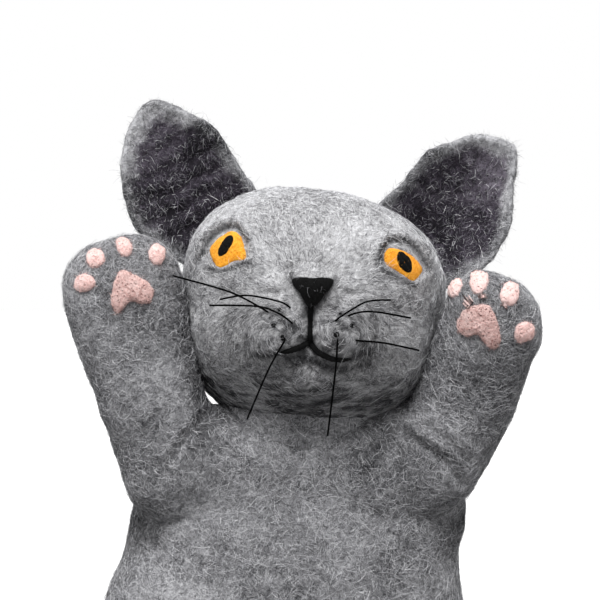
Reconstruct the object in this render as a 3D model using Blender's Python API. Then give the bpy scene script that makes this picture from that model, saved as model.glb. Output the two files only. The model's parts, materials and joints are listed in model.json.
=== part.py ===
"""Felted wool cat glove puppet: metres, +Z up, facing -Y, standing on its open hem.

The body is a hollow felt glove in two lengths that bow at the wrist, the arms are felt sleeves with a
shoulder and an elbow, and the stuffed head turns and nods on a felt neck collar. Felt that only bends on
the real puppet is parted here along round surfaces centred on each joint, so every piece keeps clear.
"""

import math

import bmesh
import bpy
from mathutils import Matrix, Vector

MM = 0.001

# felt
WALL = 3.5 * MM  # glove felt
SKIN_GAP = 0.4 * MM  # between pieces that are felted or sewn onto each other
SWING_GAP = 0.8 * MM  # between pieces that move on each other
RIM_WALL = 1.2 * MM  # thinnest rim where a round end is let in
SWING_SLACK = math.radians(8)  # kept at each side of a fold's notch past its limit
SEGMENTS, TUBE_SEGMENTS = 26, 24

# body: (height, centre x, half width, half depth)
BODY_X, BODY_Y = 0.4 * MM, 3.2 * MM  # so that the whole puppet stands centred on the origin
WAIST_Z = 92 * MM
HEM_Z = 0.0
HEM_CENTRE_X, HEM_HALF_WIDTH, HEM_HALF_DEPTH = -9 * MM, 77 * MM, 43 * MM
HIP_Z, HIP_CENTRE_X, HIP_HALF_WIDTH, HIP_HALF_DEPTH = 50 * MM, -8.8 * MM, 73.5 * MM, 40 * MM
WAIST_CENTRE_X, WAIST_HALF_WIDTH, WAIST_HALF_DEPTH = -4.9 * MM, 67.3 * MM, 35 * MM
CHEST_RISE, CHEST_CENTRE_X, CHEST_HALF_WIDTH, CHEST_HALF_DEPTH = 25 * MM, -1 * MM, 67 * MM, 31 * MM
YOKE_RISE, YOKE_HALF_WIDTH, YOKE_HALF_DEPTH = 38 * MM, 55 * MM, 25 * MM
NAPE_RISE, NAPE_HALF_WIDTH, NAPE_HALF_DEPTH = 43 * MM, 36 * MM, 21 * MM

# head and neck
HEAD_HALF_WIDTH, HEAD_HALF_DEPTH, HEAD_HALF_HEIGHT = 51 * MM, 48 * MM, 50 * MM
HEAD_ROLL = math.radians(4.8)
HEAD_PROFILE, HEAD_ROUND = 2.4, 2.15
HEAD_WALL = 4 * MM
HEAD_HOLE_CLEAR = 6 * MM  # round the collar's ball
NECK_X = 1 * MM
NECK_PIVOT_RISE = 60 * MM  # of the nodding axis over the waist
HEAD_OVER_PIVOT = 36.5 * MM
HEAD_SET_BACK = 4 * MM
NOD_MAX = math.radians(12)
COLLAR_BALL, COLLAR_STEM, COLLAR_BORE = 20 * MM, 15.5 * MM, 12.5 * MM
COLLAR_TAIL = 12 * MM  # of the collar inside the torso
TUBE_WALL, TUBE_LENGTH = 2 * MM, 40 * MM

# arms: each is (side, lean, forward lean of the paw, sleeve to paw, paw half width)
SHOULDER_RISE = 30 * MM  # of the spreading axis over the waist
SHOULDER_BALL = 21.5 * MM
SHOULDER_Y = -15 * MM
ELBOW_REACH, ELBOW_HALF_WIDTH, ELBOW_HALF_DEPTH = 31 * MM, 20.5 * MM, 15.5 * MM
PAW_HALF_DEPTH = 16 * MM
PAW_ROUND, PAW_SECTION = 2.5, 2.3
ARM_HEAD_GAP = 1 * MM
ARMS = {
    "left": (-1, math.radians(15.6), 0.0, 44 * MM, 24 * MM),
    "right": (1, math.radians(20.6), math.radians(14), 34 * MM, 20.5 * MM),
}
SPREAD_MAX = math.radians(38)
FOLD_MIN, FOLD_MAX = math.radians(-12), math.radians(48)
BOW_MIN, BOW_MAX = math.radians(-12), math.radians(20)

# felt pads: how thick their edge is, and how far the middle swells over it
TOE_EDGE, TOE_RISE = 0.8 * MM, 0.9 * MM
PALM_EDGE, PALM_RISE = 0.9 * MM, 1.1 * MM
NOSE_EDGE, NOSE_RISE = 1.6 * MM, 1.6 * MM
EYE_EDGE, EYE_RISE, PUPIL_THICK, SPOT_THICK = 1.0 * MM, 0.8 * MM, 0.8 * MM, 0.6 * MM
MUZZLE_EDGE, MUZZLE_RISE, CHIN_RISE = 0.9 * MM, 6.5 * MM, 2.6 * MM
EAR_WALL, LINING_WALL = 3.5 * MM, 1.4 * MM
EAR_BACK, EAR_CUP = 13 * MM, 0.016 / MM
LINING_SHARE = 0.8  # of the ear's outline
YARN_RADIUS, THREAD_RADIUS = 0.9 * MM, 0.35 * MM

COLOURS = {  # slot: (linear colour, roughness)
    "grey_felt": ((0.26, 0.26, 0.28), 0.95),
    "ear_felt": ((0.065, 0.06, 0.07), 0.95),
    "pad_felt": ((0.46, 0.29, 0.27), 0.95),
    "toe_felt": ((0.80, 0.58, 0.55), 0.95),
    "amber_felt": ((0.95, 0.60, 0.14), 0.9),
    "black_felt": ((0.008, 0.008, 0.009), 0.9),
    "black_thread": ((0.008, 0.008, 0.009), 0.6),
    "wool_stuffing": ((0.62, 0.58, 0.50), 1.0),
}


# ---- shared shape tools -------------------------------------------------------------------------------


def material(slot):
    found = bpy.data.materials.get(slot)
    if found:
        return found
    colour, roughness = COLOURS[slot]
    made = bpy.data.materials.new(slot)
    made.use_nodes = True
    shader = made.node_tree.nodes["Principled BSDF"]
    shader.inputs["Base Color"].default_value = (*colour, 1)
    shader.inputs["Roughness"].default_value = roughness
    shader.inputs["Metallic"].default_value = 0.0
    return made


def place(obj, parent):
    """Hang an object on an empty without moving it in the empty's own frame."""
    if parent:
        obj.parent = parent
    return obj


def pivot(name, at, turn=None, parent=None):
    """An empty on a joint's axis."""
    empty = bpy.data.objects.new(name, None)
    bpy.context.scene.collection.objects.link(empty)
    empty.matrix_basis = Matrix.Translation(at) @ (turn or Matrix.Identity(4))
    return place(empty, parent)


def solid(name, rows, slot, parent=None, caps=(False, False), closed=False, smooth=True):
    """Skin rows of points, each row a loop; caps end in a point, closed joins the last row to the first."""
    bm = bmesh.new()
    loops = [[bm.verts.new(p) for p in row] for row in rows]
    pairs = list(zip(loops, loops[1:]))
    if closed:
        pairs.append((loops[-1], loops[0]))
    for low, high in pairs:
        for i in range(len(low)):
            j = (i + 1) % len(low)
            bm.faces.new((low[i], low[j], high[j], high[i]))
    for capped, loop in zip(caps, (loops[0], loops[-1])):
        if capped:
            bmesh.ops.contextual_create(bm, geom=loop)
    bmesh.ops.recalc_face_normals(bm, faces=bm.faces)
    mesh = bpy.data.meshes.new(name)
    bm.to_mesh(mesh)
    bm.free()
    if smooth:
        mesh.shade_smooth()
        mesh.set_sharp_from_angle(angle=math.radians(50))
    obj = bpy.data.objects.new(name, mesh)
    obj.data.materials.append(material(slot))
    bpy.context.scene.collection.objects.link(obj)
    return place(obj, parent)


def oval_ring(half_width, half_depth, z, roundness, x=0.0, y=0.0, count=SEGMENTS):
    """A level ring of points on a superellipse."""
    ring = []
    for i in range(count):
        angle = 2 * math.pi * i / count
        c, s = math.cos(angle), math.sin(angle)
        across = math.copysign(abs(c) ** (2 / roundness), c)
        along = math.copysign(abs(s) ** (2 / roundness), s)
        ring.append(Vector((x + half_width * across, y + half_depth * along, z)))
    return ring


def between(four, t):
    """A point that far along a smooth curve, from the second of four points to the third."""
    made = []
    for o, p, q, r in zip(*four):
        bend = (2 * o - 5 * p + 4 * q - r) * t**2 + (3 * p - o - 3 * q + r) * t**3
        made.append(0.5 * (2 * p + (q - o) * t + bend))
    return tuple(made)


def eased(rows, steps):
    """Rows of numbers with steps more between each two, along a smooth curve through them all."""
    made = []
    for i in range(len(rows) - 1):
        four = rows[max(i - 1, 0)], rows[i], rows[i + 1], rows[min(i + 2, len(rows) - 1)]
        made += [between(four, k / steps) for k in range(steps)]
    made.append(tuple(rows[-1]))
    return made


def thicken(obj, wall):
    """Give an open felt skin its wall, inwards."""
    modifier = obj.modifiers.new("felt", "SOLIDIFY")
    modifier.thickness = wall
    modifier.offset = -1
    modifier.use_even_offset = True
    return obj


def guide(obj):
    """Keep a cutter out of the model."""
    obj.hide_render = True
    obj.display_type = "WIRE"
    return obj


def cut(obj, *cutters):
    for cutter in cutters:
        modifier = obj.modifiers.new("cut_" + cutter.name, "BOOLEAN")
        modifier.operation = "DIFFERENCE"
        modifier.object = guide(cutter)
    return obj


def ellipsoid(name, half_width, half_depth, parent):
    """A cutter of revolution about its own X axis."""
    bm = bmesh.new()
    bmesh.ops.create_uvsphere(bm, u_segments=SEGMENTS, v_segments=SEGMENTS // 2, radius=1)
    bmesh.ops.scale(bm, vec=(half_width, half_depth, half_depth), verts=bm.verts)
    mesh = bpy.data.meshes.new(name)
    bm.to_mesh(mesh)
    bm.free()
    obj = bpy.data.objects.new(name, mesh)
    bpy.context.scene.collection.objects.link(obj)
    return place(guide(obj), parent)


def prism(name, outline, half_length, axis, parent):
    """A cutter: an outline drawn across the axis "X" or "Y", run along it both ways."""
    rows = []
    for side in (-half_length, half_length):
        rows.append([Vector((side, p, q)) if axis == "X" else Vector((p, side, q)) for p, q in outline])
    return guide(solid(name, rows, "grey_felt", parent, caps=(True, True), smooth=False))


def hinge_cutters(name, half_width, half_depth, low, high, parent):
    """What a fold about the parent's X axis sweeps: the round end of the upper length, and its notches."""
    reach = 3 * half_depth
    front, back = math.tan(high / 2 + SWING_SLACK), math.tan(-low / 2 + SWING_SLACK)
    trim = half_depth * math.sqrt(1 - (1 - (RIM_WALL + SWING_GAP) / half_depth) ** 2)
    outline = [
        (-(trim - SWING_GAP) / front, -trim),
        (-reach, -SWING_GAP - reach * front),
        (-reach, reach),
        (reach, reach),
        (reach, -max(trim, SWING_GAP + reach * back)),
        (min((trim - SWING_GAP) / back, 0.99 * reach), -trim),
    ]
    return (
        ellipsoid(name + "_socket", half_width + SWING_GAP, half_depth + SWING_GAP, parent),
        prism(name + "_notch", outline, 1.5 * half_width, "X", parent),
    )


def round_end(half_width, half_depth, reach=0.7, steps=4):
    """Rows (height, half width, half depth) of the round lower end of a length that folds."""
    rows = []
    for k in range(steps):
        rise = -reach * (1 - k / steps)
        scale = math.sqrt(1 - rise**2)
        rows.append((rise * half_depth, scale * half_width, scale * half_depth))
    return rows


def smooth_loop(points, per_side=4):
    """A closed outline curved through a few points."""
    made = []
    count = len(points)
    for i in range(count):
        four = [points[(i + k) % count] for k in (-1, 0, 1, 2)]
        made += [between(four, k / per_side) for k in range(per_side)]
    return made


def oval(u, v, half_width, half_height, lean=0.0, count=20):
    made = []
    for i in range(count):
        angle = 2 * math.pi * i / count
        p, q = half_width * math.cos(angle), half_height * math.sin(angle)
        c, s = math.cos(lean), math.sin(lean)
        made.append((u + c * p - s * q, v + s * p + c * q))
    return made


def middle(outline):
    return tuple(sum(p[k] for p in outline) / len(outline) for k in (0, 1))


def facing(surface, u, v):
    """The surface's outward direction at a point: it faces -Y."""
    step = 0.2 * MM
    across = surface(u + step, v) - surface(u - step, v)
    up = surface(u, v + step) - surface(u, v - step)
    return across.cross(up).normalized()


def patch(name, outline, surface, lift, edge, rise, slot, parent, rings=2):
    """A felt pad on a surface: lift(u, v) clears what is under it, and its face swells by rise."""
    centre = middle(outline)
    under, face = [], []
    for k in range(rings + 1):
        spread = max(k / rings, 0.03)
        low, high = [], []
        for p in outline:
            u, v = (c + (q - c) * spread for c, q in zip(centre, p))
            at, out, base = surface(u, v), facing(surface, u, v), lift(u, v)
            low.append(at + out * base)
            high.append(at + out * (base + edge + rise * math.sqrt(max(0.0, 1 - spread**2))))
        under.append(low)
        face.append(high)
    return solid(name, face + under[::-1], slot, parent, caps=(True, True))


def strand(name, points, radius, slot, parent, steps=3, sides=1):
    """A yarn or thread laid along a smooth curve through its points."""
    route = eased([tuple(p) for p in points], steps)
    curve = bpy.data.curves.new(name, "CURVE")
    curve.dimensions = "3D"
    curve.bevel_depth = radius
    curve.bevel_resolution = sides
    curve.use_fill_caps = True
    spline = curve.splines.new("POLY")
    spline.points.add(len(route) - 1)
    for point, at in zip(spline.points, route):
        point.co = (*at, 1)
    obj = bpy.data.objects.new(name, curve)
    obj.data.materials.append(material(slot))
    bpy.context.scene.collection.objects.link(obj)
    return place(obj, parent)


# ---- body ---------------------------------------------------------------------------------------------


def body_rows(rows):
    return [oval_ring(wide, deep, z, 2, x) for z, x, wide, deep in rows]


def make_skirt():
    """The lower length of the glove, open at the hem and the wrist; gives the wrist's pivot."""
    rim = 2 * MM
    rows = [
        (HEM_Z, HEM_CENTRE_X, HEM_HALF_WIDTH, HEM_HALF_DEPTH),
        (HEM_Z + rim, HEM_CENTRE_X, HEM_HALF_WIDTH, HEM_HALF_DEPTH),
        (HIP_Z, HIP_CENTRE_X, HIP_HALF_WIDTH, HIP_HALF_DEPTH),
        (WAIST_Z, WAIST_CENTRE_X, WAIST_HALF_WIDTH, WAIST_HALF_DEPTH),
        (WAIST_Z + 4 * rim, WAIST_CENTRE_X, WAIST_HALF_WIDTH, WAIST_HALF_DEPTH),
    ]
    skin = rows[:1] + eased(rows[1:], 3)
    stand = pivot("stand", (BODY_X, BODY_Y, 0))
    skirt = thicken(solid("skirt", body_rows(skin), "grey_felt", stand), WALL)
    waist = pivot("waist_pivot", (WAIST_CENTRE_X, 0, WAIST_Z), None, stand)
    cut(skirt, *hinge_cutters("waist", WAIST_HALF_WIDTH, WAIST_HALF_DEPTH, BOW_MIN, BOW_MAX, waist))
    return waist


def spread_outline(side):
    """What an arm sweeps between its rest and its widest spread, in its shoulder's frame."""
    clear, reach = SHOULDER_BALL + SWING_GAP, 4 * SHOULDER_BALL
    out = (math.sin(SPREAD_MAX), math.cos(SPREAD_MAX))
    low = (clear * math.cos(SPREAD_MAX), -clear * math.sin(SPREAD_MAX))
    outline = [
        (-clear, 0),
        (-clear, reach),
        (reach, reach),
        (low[0] + reach * out[0], low[1] + reach * out[1]),
        low,
    ]
    return [(side * u, v) for u, v in outline]


def make_torso(waist, shoulders):
    """The upper length of the glove: open at the wrist, the neck and both shoulders."""
    centre_shift = NECK_X - WAIST_CENTRE_X
    rows = [(z, 0.0, wide, deep) for z, wide, deep in round_end(WAIST_HALF_WIDTH, WAIST_HALF_DEPTH, 0.5)]
    upper = [
        (0.0, 0.0, WAIST_HALF_WIDTH, WAIST_HALF_DEPTH),
        (CHEST_RISE, CHEST_CENTRE_X - WAIST_CENTRE_X, CHEST_HALF_WIDTH, CHEST_HALF_DEPTH),
        (YOKE_RISE, centre_shift, YOKE_HALF_WIDTH, YOKE_HALF_DEPTH),
        (NAPE_RISE, centre_shift, NAPE_HALF_WIDTH, NAPE_HALF_DEPTH),
        (NAPE_RISE, centre_shift, COLLAR_STEM + SWING_GAP, COLLAR_STEM + SWING_GAP),
    ]
    skin = rows + eased(upper[:4], 3) + upper[4:]
    torso = thicken(solid("torso", body_rows(skin), "grey_felt", waist), WALL)
    for name, (side, *_) in ARMS.items():
        clear = SHOULDER_BALL + SWING_GAP
        cut(
            torso,
            ellipsoid(f"{name}_shoulder_socket", clear, clear, shoulders[name]),
            prism(f"{name}_shoulder_sweep", spread_outline(side), 3 * clear, "Y", shoulders[name]),
        )
    return torso


# ---- arms ---------------------------------------------------------------------------------------------


def shoulder_at(side, lean, paw_half_width):
    """Where an arm starts, in the waist's frame, so that its sleeve and paw clear the head."""
    c, s = math.cos(lean), math.sin(lean)
    ahead = HEAD_SET_BACK - SHOULDER_Y - HEAD_OVER_PIVOT * math.sin(NOD_MAX)
    level = (1 - (max(ahead, 0.0) / HEAD_HALF_DEPTH) ** HEAD_ROUND) ** (1 / HEAD_ROUND)
    head = level * HEAD_HALF_WIDTH * c, HEAD_HALF_HEIGHT * s
    off_axis = math.hypot(*head) + ARM_HEAD_GAP + paw_half_width
    head_x, head_z = head_centre()
    rise = SHOULDER_RISE
    x = head_x + side * (off_axis - (head_z - rise) * s) / c
    return Vector((x, SHOULDER_Y, rise))


def head_centre():
    """The head's centre (x, z) in the waist's frame."""
    return (
        NECK_X - WAIST_CENTRE_X + HEAD_OVER_PIVOT * math.sin(HEAD_ROLL),
        NECK_PIVOT_RISE + HEAD_OVER_PIVOT * math.cos(HEAD_ROLL),
    )


def paw_surface(reach, half_width):
    """The front of a forearm and paw, from the elbow's frame: x across, z along the sleeve."""

    def at(u, v):
        wide, deep = sleeve_size(min(v, reach), reach, half_width)
        past = max(v - reach, 0.0) / half_width
        cap = max(1 - past**PAW_ROUND, 0.02) ** (1 / PAW_ROUND)
        wide, deep = wide * cap, deep * cap
        left = max(1 - abs(u / wide) ** PAW_SECTION, 0.02)
        return Vector((u, -deep * left ** (1 / PAW_SECTION), v))

    return at


def sleeve_size(v, reach, half_width):
    t = v / reach
    ease = t * t * (3 - 2 * t)
    return (
        ELBOW_HALF_WIDTH + (half_width - ELBOW_HALF_WIDTH) * ease,
        ELBOW_HALF_DEPTH + (PAW_HALF_DEPTH - ELBOW_HALF_DEPTH) * ease,
    )


def make_upper_arm(name, shoulder, elbow):
    """The sleeve from the ball at the shoulder to the fold at the elbow."""
    rows = round_end(SHOULDER_BALL, SHOULDER_BALL, 0.75)
    top = ELBOW_REACH + ELBOW_HALF_DEPTH
    rows += eased(
        [
            (0.0, SHOULDER_BALL, SHOULDER_BALL),
            (0.5 * ELBOW_REACH, 0.985 * SHOULDER_BALL, 0.5 * (SHOULDER_BALL + ELBOW_HALF_DEPTH)),
            (ELBOW_REACH, ELBOW_HALF_WIDTH, ELBOW_HALF_DEPTH + 0.3 * MM),
            (top, ELBOW_HALF_WIDTH, ELBOW_HALF_DEPTH + 0.3 * MM),
        ],
        2,
    )
    skin = [oval_ring(wide, deep, v, 2) for v, wide, deep in rows]
    sleeve = thicken(solid(f"{name}_upper_arm", skin, "grey_felt", shoulder), WALL)
    fold = hinge_cutters(f"{name}_elbow", ELBOW_HALF_WIDTH, ELBOW_HALF_DEPTH, FOLD_MIN, FOLD_MAX, elbow)
    return cut(sleeve, *fold)


def make_forearm(name, reach, half_width, elbow):
    """The sleeve and paw past the elbow, closed at the tip and open at the elbow."""
    skin = [oval_ring(wide, deep, v, 2) for v, wide, deep in round_end(ELBOW_HALF_WIDTH, ELBOW_HALF_DEPTH)]
    lengths = 3
    for k in range(lengths):
        v = reach * k / lengths
        wide, deep = sleeve_size(v, reach, half_width)
        skin.append(oval_ring(wide, deep, v, 2 + (PAW_SECTION - 2) * k / lengths))
    rings = 6
    for k in range(rings):
        past = math.sin(0.5 * math.pi * k / rings)
        cap = (1 - past**PAW_ROUND) ** (1 / PAW_ROUND)
        wide, deep, v = half_width * cap, PAW_HALF_DEPTH * cap, reach + past * half_width
        skin.append(oval_ring(wide, deep, v, PAW_SECTION))
    paw = solid(f"{name}_forearm", skin, "grey_felt", elbow, caps=(False, True))
    return thicken(paw, WALL)


# toe pads: (across towards the head, along from the paw's centre, width, height, lean) in mm
TOES = {
    "left": [
        (-13.7, 8.8, 9.4, 8.2, 20),
        (-6.0, 16.6, 7.6, 8.2, 0),
        (5.6, 17.8, 6.8, 8.2, 0),
        (16.4, 11.6, 6.2, 9.6, 0),
    ],
    "right": [
        (-13.6, 5.5, 8.8, 9.6, 35),
        (-3.6, 15.0, 8.4, 9.0, 15),
        (8.6, 14.6, 7.4, 8.8, 0),
        (16.0, 8.0, 5.6, 9.0, 0),
    ],
}
# main pad: a heart upside down, (across towards the head, along) in mm
PAW_HEART = {
    "left": [
        *((2.4, 11.6), (8.0, 8.0), (12.4, 2.2), (10.0, -1.8), (4.6, -1.4)),
        *((2.0, -4.6), (-2.4, -9.2), (-6.6, -6.4), (-6.2, 0.6), (-2.6, 7.8)),
    ],
    "right": [
        *((4.6, 10.4), (10.0, 5.6), (13.0, 0.6), (10.2, -4.4), (5.2, -3.4)),
        *((2.4, -6.2), (-2.0, -8.6), (-5.4, -4.0), (-4.0, 3.0), (-0.2, 8.4)),
    ],
}
PAW_DRAWN = {"left": 24 * MM, "right": 20.5 * MM}  # paw half width that the pads above are drawn for


def make_paw_pads(name, side, reach, half_width, elbow):
    surface = paw_surface(reach, half_width)
    inward = -side
    size = half_width / PAW_DRAWN[name]

    def put(u, v):
        return inward * u * size * MM, reach + v * size * MM

    for number, (u, v, width, height, lean) in enumerate(TOES[name], 1):
        turned = math.radians(lean) * inward
        outline = oval(*put(u, v), 0.5 * width * size * MM, 0.5 * height * size * MM, turned, 12)
        patch(f"{name}_toe_pad_{number}", outline, surface, on_felt, TOE_EDGE, TOE_RISE, "toe_felt", elbow)
    heart = smooth_loop([put(u, v) for u, v in PAW_HEART[name]], 2)
    patch(f"{name}_palm_pad", heart, surface, on_felt, PALM_EDGE, PALM_RISE, "pad_felt", elbow, 3)


# ---- head ---------------------------------------------------------------------------------------------


def head_scale(v):
    return max(1 - abs(v / HEAD_HALF_HEIGHT) ** HEAD_PROFILE, 0.0) ** (1 / HEAD_PROFILE)


def head_surface(u, v):
    """The front of the head, from its centre: x across, z up."""
    scale = max(head_scale(v), 0.05)
    left = max(1 - abs(u / (HEAD_HALF_WIDTH * scale)) ** HEAD_ROUND, 0.001)
    return Vector((u, -HEAD_HALF_DEPTH * scale * left ** (1 / HEAD_ROUND), v))


def head_edge(angle, out):
    """A point past the head's outline as seen from the front."""
    c, s = math.cos(angle), math.sin(angle)
    n = HEAD_PROFILE
    reach = (abs(c / HEAD_HALF_WIDTH) ** n + abs(s / HEAD_HALF_HEIGHT) ** n) ** (-1 / n) + out
    return reach * c, reach * s


# face, from the head's centre, as (across, up, half width, half height) in mm
MUZZLE = {"left_muzzle_pad": (-12.9, -8.0, 11.4, 12.6), "right_muzzle_pad": (10.7, -7.2, 11.4, 12.6)}
CHIN = (0.6, -27.0, 9.5, 5.6)
NOSE = [(-9.8, 12.6), (-1.4, 13.8), (6.7, 13.7), (3.2, 6.8), (-1.6, 1.8), (-6.0, 6.6)]
EYES = {
    "left": [
        *((-43.4, 21.7), (-40.5, 26.8), (-35.5, 29.8), (-31.6, 27.6)),
        *((-29.6, 20.0), (-34.2, 17.8), (-39.6, 16.2)),
    ],
    "right": [
        *((26.9, 28.9), (25.2, 25.1), (26.4, 21.4), (31.6, 19.4)),
        *((36.7, 16.8), (40.6, 20.8), (37.4, 26.6), (32.1, 28.7)),
    ],
}
# pupils: (across, up, half width, half height, lean)
PUPILS = {"left": (-37.4, 24.0, 1.1, 4.6, -28), "right": (33.6, 23.8, 1.7, 4.2, 30)}
SPOTS = {
    "left": [(-13.6, 0.9, 1.0), (-15.1, -5.8, 1.3), (-10.9, -10.7, 1.2)],
    "right": [(8.7, -7.0, 1.2), (15.0, -3.2, 1.3), (9.5, 1.0, 0.8)],
}
PHILTRUM = [(-1.4, -0.6), (-1.1, -4.0), (-0.8, -8.0), (-0.7, -11.4)]
MOUTH = {
    "left": [(-1.4, -14.0), (-5.0, -14.6), (-9.0, -15.8), (-12.0, -16.4)],
    "right": [(0.7, -14.2), (4.4, -16.4), (9.6, -18.2), (16.3, -17.2)],
}
# whiskers: (across, up, in front of the head's centre) in mm; the first point lies on the face
WHISKERS = {
    "left_whisker_1": [(-18.0, -0.7), (-27.3, 3.8, 53), (-36.4, 6.6, 49), (-55.7, 10.2, 40)],
    "left_whisker_2": [(-9.7, 1.8), (-14.2, 3.8, 57), (-26.5, 5.0, 48), (-36.6, 2.6, 42)],
    "left_whisker_3": [(-8.6, -4.0), (-14.4, -0.4, 62), (-22.7, 1.2, 59), (-40.3, 0.0, 47)],
    "left_whisker_4": [(-13.6, -13.4), (-16.7, -24.0, 56), (-22.5, -42.9, 46)],
    "right_whisker_1": [(8.6, -1.6), (13.7, 2.8, 60), (20.0, 6.6, 54), (28.8, 7.9, 48)],
    "right_whisker_2": [(13.2, 0.4), (17.9, 2.4, 58), (24.4, 2.8, 53), (37.2, 1.6, 44)],
    "right_whisker_3": [(17.4, -8.6), (27.9, -8.8, 48), (41.6, -10.6, 40)],
    "right_whisker_4": [(8.6, -11.6), (9.6, -20.6, 57), (9.0, -46.9, 49)],
}
# ears: (degrees round the head, mm out from it); the first and last points lie along the head
EARS = {
    "left": [
        *((164, 2.6), (163, 10), (162.3, 16.7), (159.4, 26.9), (154.9, 34.5), (147.5, 44.9), (140.8, 51.9)),
        *((133, 56.4), (129, 49.9), (126.8, 43.5), (122.2, 32.4), (120, 20.5), (118, 10.2)),
        *((117, 2.0), (128, 2.0), (140, 2.0), (152, 2.0)),
    ],
    "right": [
        *((60, 2.0), (60.8, 11.4), (60.6, 19.3), (59.5, 28.3), (56.1, 35.8), (53, 44), (50, 48.7)),
        *((45.4, 52.7), (42, 49), (38.5, 42.3), (31.9, 35.3), (28.2, 31), (23.5, 23.4), (19.9, 16.5)),
        *((18, 9), (19.5, 2.6), (30, 2.0), (40, 2.0), (50, 2.0)),
    ],
}


def pad_height(u, v):
    """How far the muzzle and chin pads stand off the head at a point."""
    tallest = 0.0
    sizes = [(p, MUZZLE_RISE) for p in MUZZLE.values()] + [(CHIN, CHIN_RISE)]
    for (cu, cv, wide, high), rise in sizes:
        off = ((u / MM - cu) / wide) ** 2 + ((v / MM - cv) / high) ** 2
        if off < 1:
            tallest = max(tallest, SKIN_GAP + MUZZLE_EDGE + rise * math.sqrt(1 - off))
    return tallest


def over_pads(u, v):
    """The clearance that a piece needs to lie on whatever is under and beside it."""
    near = 1.6 * MM
    angles = [k * math.pi / 4 for k in range(8)]
    ring = [(0, 0)] + [(near * math.cos(a), near * math.sin(a)) for a in angles]
    return SKIN_GAP + max(pad_height(u + p, v + q) for p, q in ring)


def on_felt(u, v):
    return SKIN_GAP


def make_collar(neck):
    """A felt tube whose round top sits in the head's opening."""
    low = NAPE_RISE - NECK_PIVOT_RISE - COLLAR_TAIL
    outer, ball_low, ball_high, steps = [(low, COLLAR_STEM)], -0.6, 0.5, 7
    for k in range(steps + 1):
        rise = ball_low + (ball_high - ball_low) * k / steps
        outer.append((rise * COLLAR_BALL, COLLAR_BALL * math.sqrt(1 - rise**2)))
    rows = [oval_ring(r, r, z, 2) for z, r in outer]
    rows += [oval_ring(COLLAR_BORE, COLLAR_BORE, z, 2) for z in (outer[-1][0], low)]
    return solid("neck_collar", rows, "grey_felt", neck, closed=True)


def shell_rows(shrink, low, high, steps):
    """Rings of the head's shape, shrunk by a wall, between two heights."""
    rows = []
    for k in range(steps + 1):
        angle = math.asin(low) + (math.asin(high) - math.asin(low)) * k / steps
        rise = math.sin(angle)
        scale = (1 - abs(rise) ** HEAD_PROFILE) ** (1 / HEAD_PROFILE)
        wide, deep = (HEAD_HALF_WIDTH - shrink) * scale, (HEAD_HALF_DEPTH - shrink) * scale
        rows.append(oval_ring(wide, deep, rise * (HEAD_HALF_HEIGHT - shrink), HEAD_ROUND))
    return rows


def make_head(head):
    hole = (COLLAR_BALL + HEAD_HOLE_CLEAR) / HEAD_HALF_DEPTH
    low = -((1 - hole**HEAD_PROFILE) ** (1 / HEAD_PROFILE))
    shell = solid("head_shell", shell_rows(0, low, 0.995, 13), "grey_felt", head, caps=(False, True))
    thicken(shell, HEAD_WALL)
    inside = HEAD_WALL + SKIN_GAP
    floor = COLLAR_BALL + SWING_GAP - HEAD_OVER_PIVOT
    core_rows = shell_rows(inside, floor / (HEAD_HALF_HEIGHT - inside), 0.97, 8)
    core = solid("head_stuffing", core_rows, "wool_stuffing", head, caps=(True, True))
    bore = COLLAR_BORE + TUBE_WALL + SKIN_GAP
    cut(core, tube_cutter("finger_bore", bore, floor - 10 * MM, floor + TUBE_LENGTH + SKIN_GAP, head))
    outer, inner = COLLAR_BORE + TUBE_WALL, COLLAR_BORE
    sizes = [(inner, TUBE_LENGTH - TUBE_WALL), (inner, 0), (outer, 0), (outer, TUBE_LENGTH)]
    rows = [oval_ring(r, r, floor + z, 2, 0, -HEAD_SET_BACK, TUBE_SEGMENTS) for r, z in sizes]
    solid("finger_tube", rows, "grey_felt", head, caps=(True, True))


def tube_cutter(name, radius, low, high, parent):
    rows = [oval_ring(radius, radius, z, 2, 0, -HEAD_SET_BACK, TUBE_SEGMENTS) for z in (low, high)]
    return guide(solid(name, rows, "grey_felt", parent, caps=(True, True), smooth=False))


def make_ears(head):
    for name, edge in EARS.items():
        outline = smooth_loop([head_edge(math.radians(a), out * MM) for a, out in edge], 2)
        centre = middle(outline)
        tip = max(outline, key=lambda p: math.hypot(*p))
        along = Vector((tip[0] - centre[0], tip[1] - centre[1])).normalized()

        def cupped(u, v, centre=centre, along=along):
            off = (u - centre[0]) * along.y - (v - centre[1]) * along.x
            return Vector((u, EAR_BACK - EAR_CUP * off**2, v))

        def behind(u, v):
            return -EAR_WALL - SKIN_GAP

        patch(f"{name}_ear", outline, cupped, behind, EAR_WALL, 0, "grey_felt", head, 4)
        inner = [tuple(c + LINING_SHARE * (q - c) for c, q in zip(centre, p)) for p in outline]
        patch(f"{name}_ear_lining", inner, cupped, on_felt, LINING_WALL, 0, "ear_felt", head, 4)


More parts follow.
